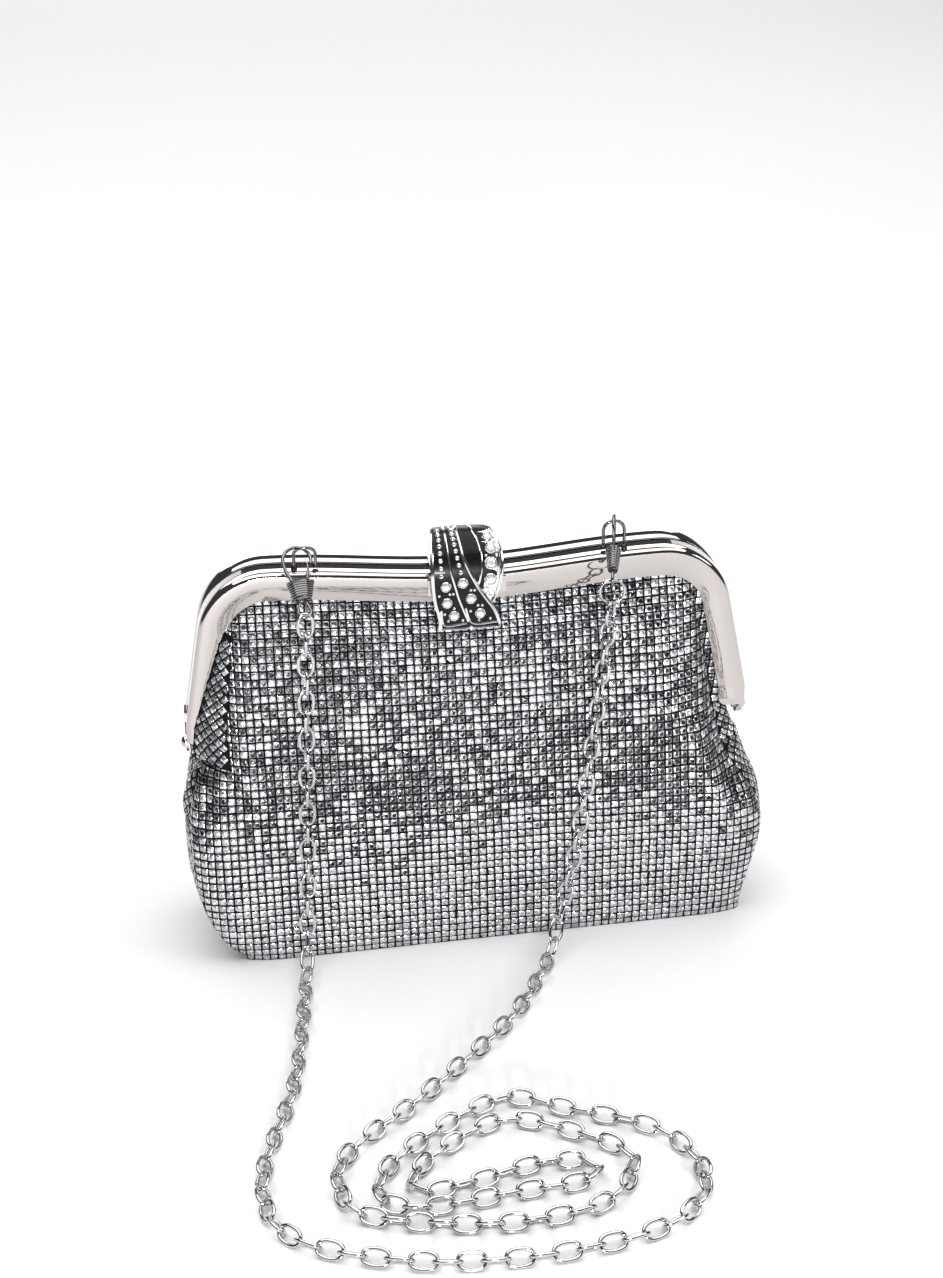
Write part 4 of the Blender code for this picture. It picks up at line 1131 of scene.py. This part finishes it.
def panel_cloth(facing, low_z, high_z, behind=0.0, rows=160, columns=241):
    """A front or rear panel between two heights."""
    heights = np.linspace(low_z, high_z, 400)
    steps = np.hypot(np.diff(heights), np.diff(half_depth(heights)))
    travelled = np.concatenate([[0.0], np.cumsum(steps)])
    z_rows = np.interp(np.linspace(0, travelled[-1], rows), travelled, heights)
    turn = np.linspace(-math.pi / 2, math.pi / 2, columns)
    u, z = np.meshgrid(np.sin(turn), z_rows)
    above = smooth((z - 0.078) / 0.010)
    seam = seam_x(u, z) * (1 - above) + (arm_edge(z, PLATE_WIDTH) + 0.0012) * above
    x = u * (seam - behind * 0.9)
    dip = 0.0022 * (1 - smooth(np.abs(x) / 0.080)) * smooth((z - 0.045) / 0.090)
    z = z - dip
    y = facing * panel_depth(x, z, behind)
    return Cloth(twist(np.stack([x, y, z], axis=-1)), (0, facing, 0), middle=0.0)


def under_frame(inset):
    """A test for points that the frame's outline, moved in by inset, still holds."""

    def test(points):
        x, z = points[..., 0], points[..., 2]
        inside = z < edge_height(x, inset)
        beside = np.abs(x) < arm_edge(z, inset)
        return inside & (beside | (z < ARM_END_Z + 0.004))

    return test


def spotted(points, rng):
    """How dark each square's dimple is: many in the upper body, few in the lower."""
    x, z = points[..., 0], points[..., 2]
    height = smooth((z - 0.034 - 0.010 * np.sin(x * 45)) / 0.030)
    band = np.exp(-(((z - 0.070) / 0.018) ** 2))
    patch = 0.58 + 0.22 * band + 0.28 * np.sin(x * 95 + z * 60) * np.sin(z * 110 - x * 40)
    return (rng.uniform(0, 1, len(points)) < patch * height) * rng.uniform(0.75, 1.0, len(points))


# How far the middle of each side wall stands out beyond its seams, as (height, out)
GUSSET_BULGES = [
    [(0.0, 0.0004), (0.030, 0.0022), (0.052, 0.0034), (GUSSET_TOP_Z, 0.0040)],
    [(0.0, 0.0004), (0.026, 0.0010), (0.043, 0.0030), (0.058, 0.0086), (GUSSET_TOP_Z, 0.0124)],
]


def gusset_cloth(side, rows=90, columns=61):
    """A lower side wall between the seams, pleated in towards the hinge."""
    z_rows = np.linspace(0.0, GUSSET_TOP_Z, rows)
    w, z = np.meshgrid(np.linspace(-1, 1, columns), z_rows)
    seam = seam_right(z) if side > 0 else seam_left(z)
    out = curve_through(GUSSET_BULGES[0 if side < 0 else 1])
    fold = curve_through([(0.0, 0.0), (0.034, 0.0004), (0.055, 0.0035), (0.077, 0.0080)])
    y = w * side_depth(z)
    x = seam + out(z) * (1 - w**2) - fold(z) * np.exp(-((w / 0.42) ** 2))
    ripple = np.sin(z * 210 + w * 2.0) + 1.6 * np.sin(w * 8.0 - z * 150) * smooth((z - 0.044) / 0.02)
    x = x + 0.0006 * ripple * (1 - w**2)
    points = twist(np.stack([side * x, y * side, z], axis=-1))
    return Cloth(points, (side, 0, 0))


def gusset_fold_cloth(side, rows=60, columns=41):
    """The upper side wall: bulged at the hinge, then folded in between the frame's halves."""
    z_rows = np.linspace(FOLD_FOOT_Z, 0.1200, rows)
    w, z = np.meshgrid(np.linspace(-1, 1, columns), z_rows)
    low = smooth((0.0925 - z) / 0.013)
    out = GUSSET_BULGES[0 if side < 0 else 1][-1][1]
    out = out - 0.25 * out * smooth((z - GUSSET_TOP_Z) / 0.008)
    bulge = seam_x(side * np.ones_like(z), np.minimum(z, 0.086)) + out * (1 - w**2)
    bulge = bulge - 0.0060 * np.exp(-((w / 0.42) ** 2))
    fold = 0.008 + 0.010 * np.clip((z - 0.077) / 0.043, 0, 1)
    tuck = arm_edge(z, PLATE_WIDTH) - 0.0004 - fold * (1 - np.abs(w) ** 1.3)
    x = bulge * low + tuck * (1 - low)
    y = w * side * (side_depth(z) * low + 0.0075 * (1 - low))
    return Cloth(np.stack([side * x, y, z], axis=-1), (side, 0, 0))


def base_cloth(rows=61, columns=201):
    """The bottom of the bag, a little hollow between its edges."""
    u, v = np.meshgrid(np.linspace(-1, 1, columns), np.linspace(-1, 1, rows))
    wide = np.where(u < 0, float(seam_left(0.0)), float(seam_right(0.0)))
    x = u * wide
    deep = 0.0232 + 0.0036 * quarter((wide - np.abs(x)) / 0.017)
    hollow = 0.0006 * (1 - u**4) * (1 - v**2)
    points = np.stack([x, v * deep, hollow], axis=-1)
    return Cloth(twist(points), (0, 0, -1))


def side_pleat_cloth(rows=70, columns=31):
    """The side wall's pleat that swells out over the left arm of the front frame."""
    b, share = np.meshgrid(np.linspace(0, 1, columns), np.linspace(0, 1, rows))
    z = 0.0770 + (0.1270 - 0.0770) * share
    inner = arm_edge(z, PLATE_WIDTH) - 0.0052 + 0.0030 * share
    reach = 0.0092 * (1 - share) ** 0.8 * smooth((z - 0.0700) / 0.012)
    outer = arm_edge(z, PLATE_WIDTH) + reach
    x = -(inner + (outer - inner) * b)
    y_in = panel_depth(-inner, z) + 0.0003
    y_out = PLATE_FRONT + 0.0004
    swell = 0.0022 * np.sin(math.pi * b) * (1 - share**2)
    y = -(y_in + (y_out - y_in) * b + swell)
    return Cloth(np.stack([x, y, z], axis=-1), (0, -1, 0))


def bowl_cloth(rows=40, columns=121):
    """The lower lining: a cup with a flat floor, as rings from its middle outwards."""
    turn, share = np.meshgrid(np.linspace(0, math.tau, columns), np.linspace(0, 1, rows))
    grow = np.clip(share / 0.35, 0.02, 1)
    climb = np.clip((share - 0.33) / 0.67, 0, 1)
    z = 0.0038 + 0.0622 * climb
    c, s = np.cos(turn), np.sin(turn)
    corner = (np.abs(c) ** 5 + np.abs(s) ** 5) ** -0.2
    wide = np.where(c < 0, seam_left(z), seam_right(z)) - 0.0040
    deep = side_depth(z) - 0.0030
    x = wide * c * corner * grow
    y = deep * s * corner * grow
    return Cloth(twist(np.stack([x, y, z], axis=-1)), (0, 0, 1))


def lining():
    """Black satin inside: a bowl below, and a panel behind each side of the frame."""
    bowl = ground("lining_bowl", bowl_cloth(), LINING, step=1, thick=0.0004)
    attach(bowl, "bag_body")
    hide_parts("lining_tub")
    keep = under_frame(0.0052)
    front = panel_cloth(-1, 0.060, 0.1385, LINING_BEHIND)
    made = ground("lining_front_panel", front, LINING, keep=keep, thick=0.0004)
    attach(made, "bag_body")
    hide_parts("lining_front")
    rear = panel_cloth(1, 0.060, 0.1385, LINING_BEHIND)
    made = ground("lining_rear_panel", rear, LINING, keep=keep, thick=0.0004)
    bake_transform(made)
    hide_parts("lining_rear_fold", "lining_rear_upper")
    x, z = np.meshgrid(np.linspace(-0.045, 0.045, 61), np.linspace(0.072, 0.116, 31))
    slack = 0.0004 * np.sin(x * 130) * smooth((z - 0.09) / 0.02)
    y = -(panel_depth(x, z) - 0.0052 + slack)
    sheet = Cloth(np.stack([x, y, z], axis=-1), (0, 1, 0))
    pocket = ground("pocket", sheet, LINING, step=1)
    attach(pocket, "bag_body")
    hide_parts("slip_pocket")
    hem = Shape()
    hem.tube([(x[-1, i], y[-1, i], z[-1, i]) for i in range(61)], 0.0008, sides=8)
    hem.done("pocket_hem", LINING, "bag_body")


def soft_body():
    front = panel_cloth(-1, 0.0, PANEL_TOP_Z)
    rear = panel_cloth(1, 0.0, PANEL_TOP_Z)
    shell = ground("front_ground", front, GROUND, keep=under_frame(CHANNEL_INSET))
    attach(shell, "bag_body")
    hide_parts("front_panel")
    seen = under_frame(PLATE_WIDTH - 0.0012)
    squares = foil("front_foil", front, 3, keep=seen, spots=spotted, border=0.1)
    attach(squares, "bag_body")
    shell = ground("rear_ground", rear, GROUND, keep=under_frame(CHANNEL_INSET))
    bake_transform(shell)
    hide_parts("rear_panel_lower", "rear_panel_fold", "rear_panel_upper")
    squares = foil("rear_foil", rear, 5, keep=seen, spots=spotted, border=0.1)
    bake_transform(squares)
    pleat = side_pleat_cloth()
    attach(ground("pleat_ground", pleat, GROUND), "bag_body")
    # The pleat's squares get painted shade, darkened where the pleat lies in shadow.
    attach(foil("pleat_foil", pleat, 31, lean=BIAS, border=0.1, shade=-0.45), "bag_body")
    bottom = ground("base_ground", base_cloth(), GROUND)
    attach(bottom, "bag_body")
    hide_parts("base_panel", "base_board")
    for side, word in ((-1, "left"), (1, "right")):
        wall = gusset_cloth(side)
        made = ground(f"side_ground_{word}", wall, GROUND)
        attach(made, "bag_body")
        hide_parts(f"gusset_{word}")
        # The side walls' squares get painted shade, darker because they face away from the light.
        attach(foil(f"side_foil_{word}", wall, 7 + side, lean=BIAS, border=0.1, shade=-0.28), "bag_body")
        fold = gusset_fold_cloth(side)
        web = ground(f"fold_ground_{word}", fold, GROUND, thick=0.0004)
        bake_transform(web)
        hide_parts(f"gusset_fold_{word}")
        # The folded walls' squares get painted shade as well.
        squares = foil(f"fold_foil_{word}", fold, 17 + side, lean=BIAS, border=0.1, shade=-0.2)
        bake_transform(squares)


# ---- studio


def area_light(name, place, aim, size, power):
    data = bpy.data.lights.new(name, "AREA")
    data.shape = "RECTANGLE"
    data.size, data.size_y = size
    data.energy = power
    made = placed(name, data)
    made.location = place
    made.rotation_euler = (Vector(aim) - Vector(place)).to_track_quat("-Z", "Y").to_euler()


def studio():
    data = bpy.data.meshes.new("floor")
    size = 6.0
    corners = [(-size, -size, 0), (size, -size, 0), (size, size, 0), (-size, size, 0)]
    data.from_pydata(corners, [], [(0, 1, 2, 3)])
    data.materials.append(floor_material())
    floor = placed("floor", data)
    world = bpy.data.worlds.new("studio")
    world.use_nodes = True
    background = world.node_tree.nodes["Background"]
    feed(world.node_tree, background, {"Color": (0.90, 0.93, 1.0, 1), "Strength": 0.07})
    bpy.context.scene.world = world
    bpy.context.scene.view_settings.view_transform = "Standard"
    area_light("key", (-0.10, -1.50, 0.26), (0, 0, 0.10), (0.26, 0.16), 20)
    area_light("fill", (1.2, -0.5, 0.8), (0, 0, 0.08), (0.5, 0.5), 3)
    area_light("top", (0.0, 0.3, 2.4), (0, 0.2, 0.0), (3.6, 3.6), 96)
    area_light("back", (0.0, 4.6, 1.2), (0, 1.0, 0.0), (4.0, 1.6), 60)


# ---- build

make_camera()
chain()
half_frame("front_frame_plate", -1, "bag_body", ["front_frame"])
half_frame("rear_frame_plate", 1, "rear_half", ["rear_frame"])
hinge_rivets()
clasp()
stones()
clasp_hardware()
for index, word in enumerate(("left", "right")):
    hook(word)
    bail(word, index)
jump_ring()
soft_body()
lining()
studio()
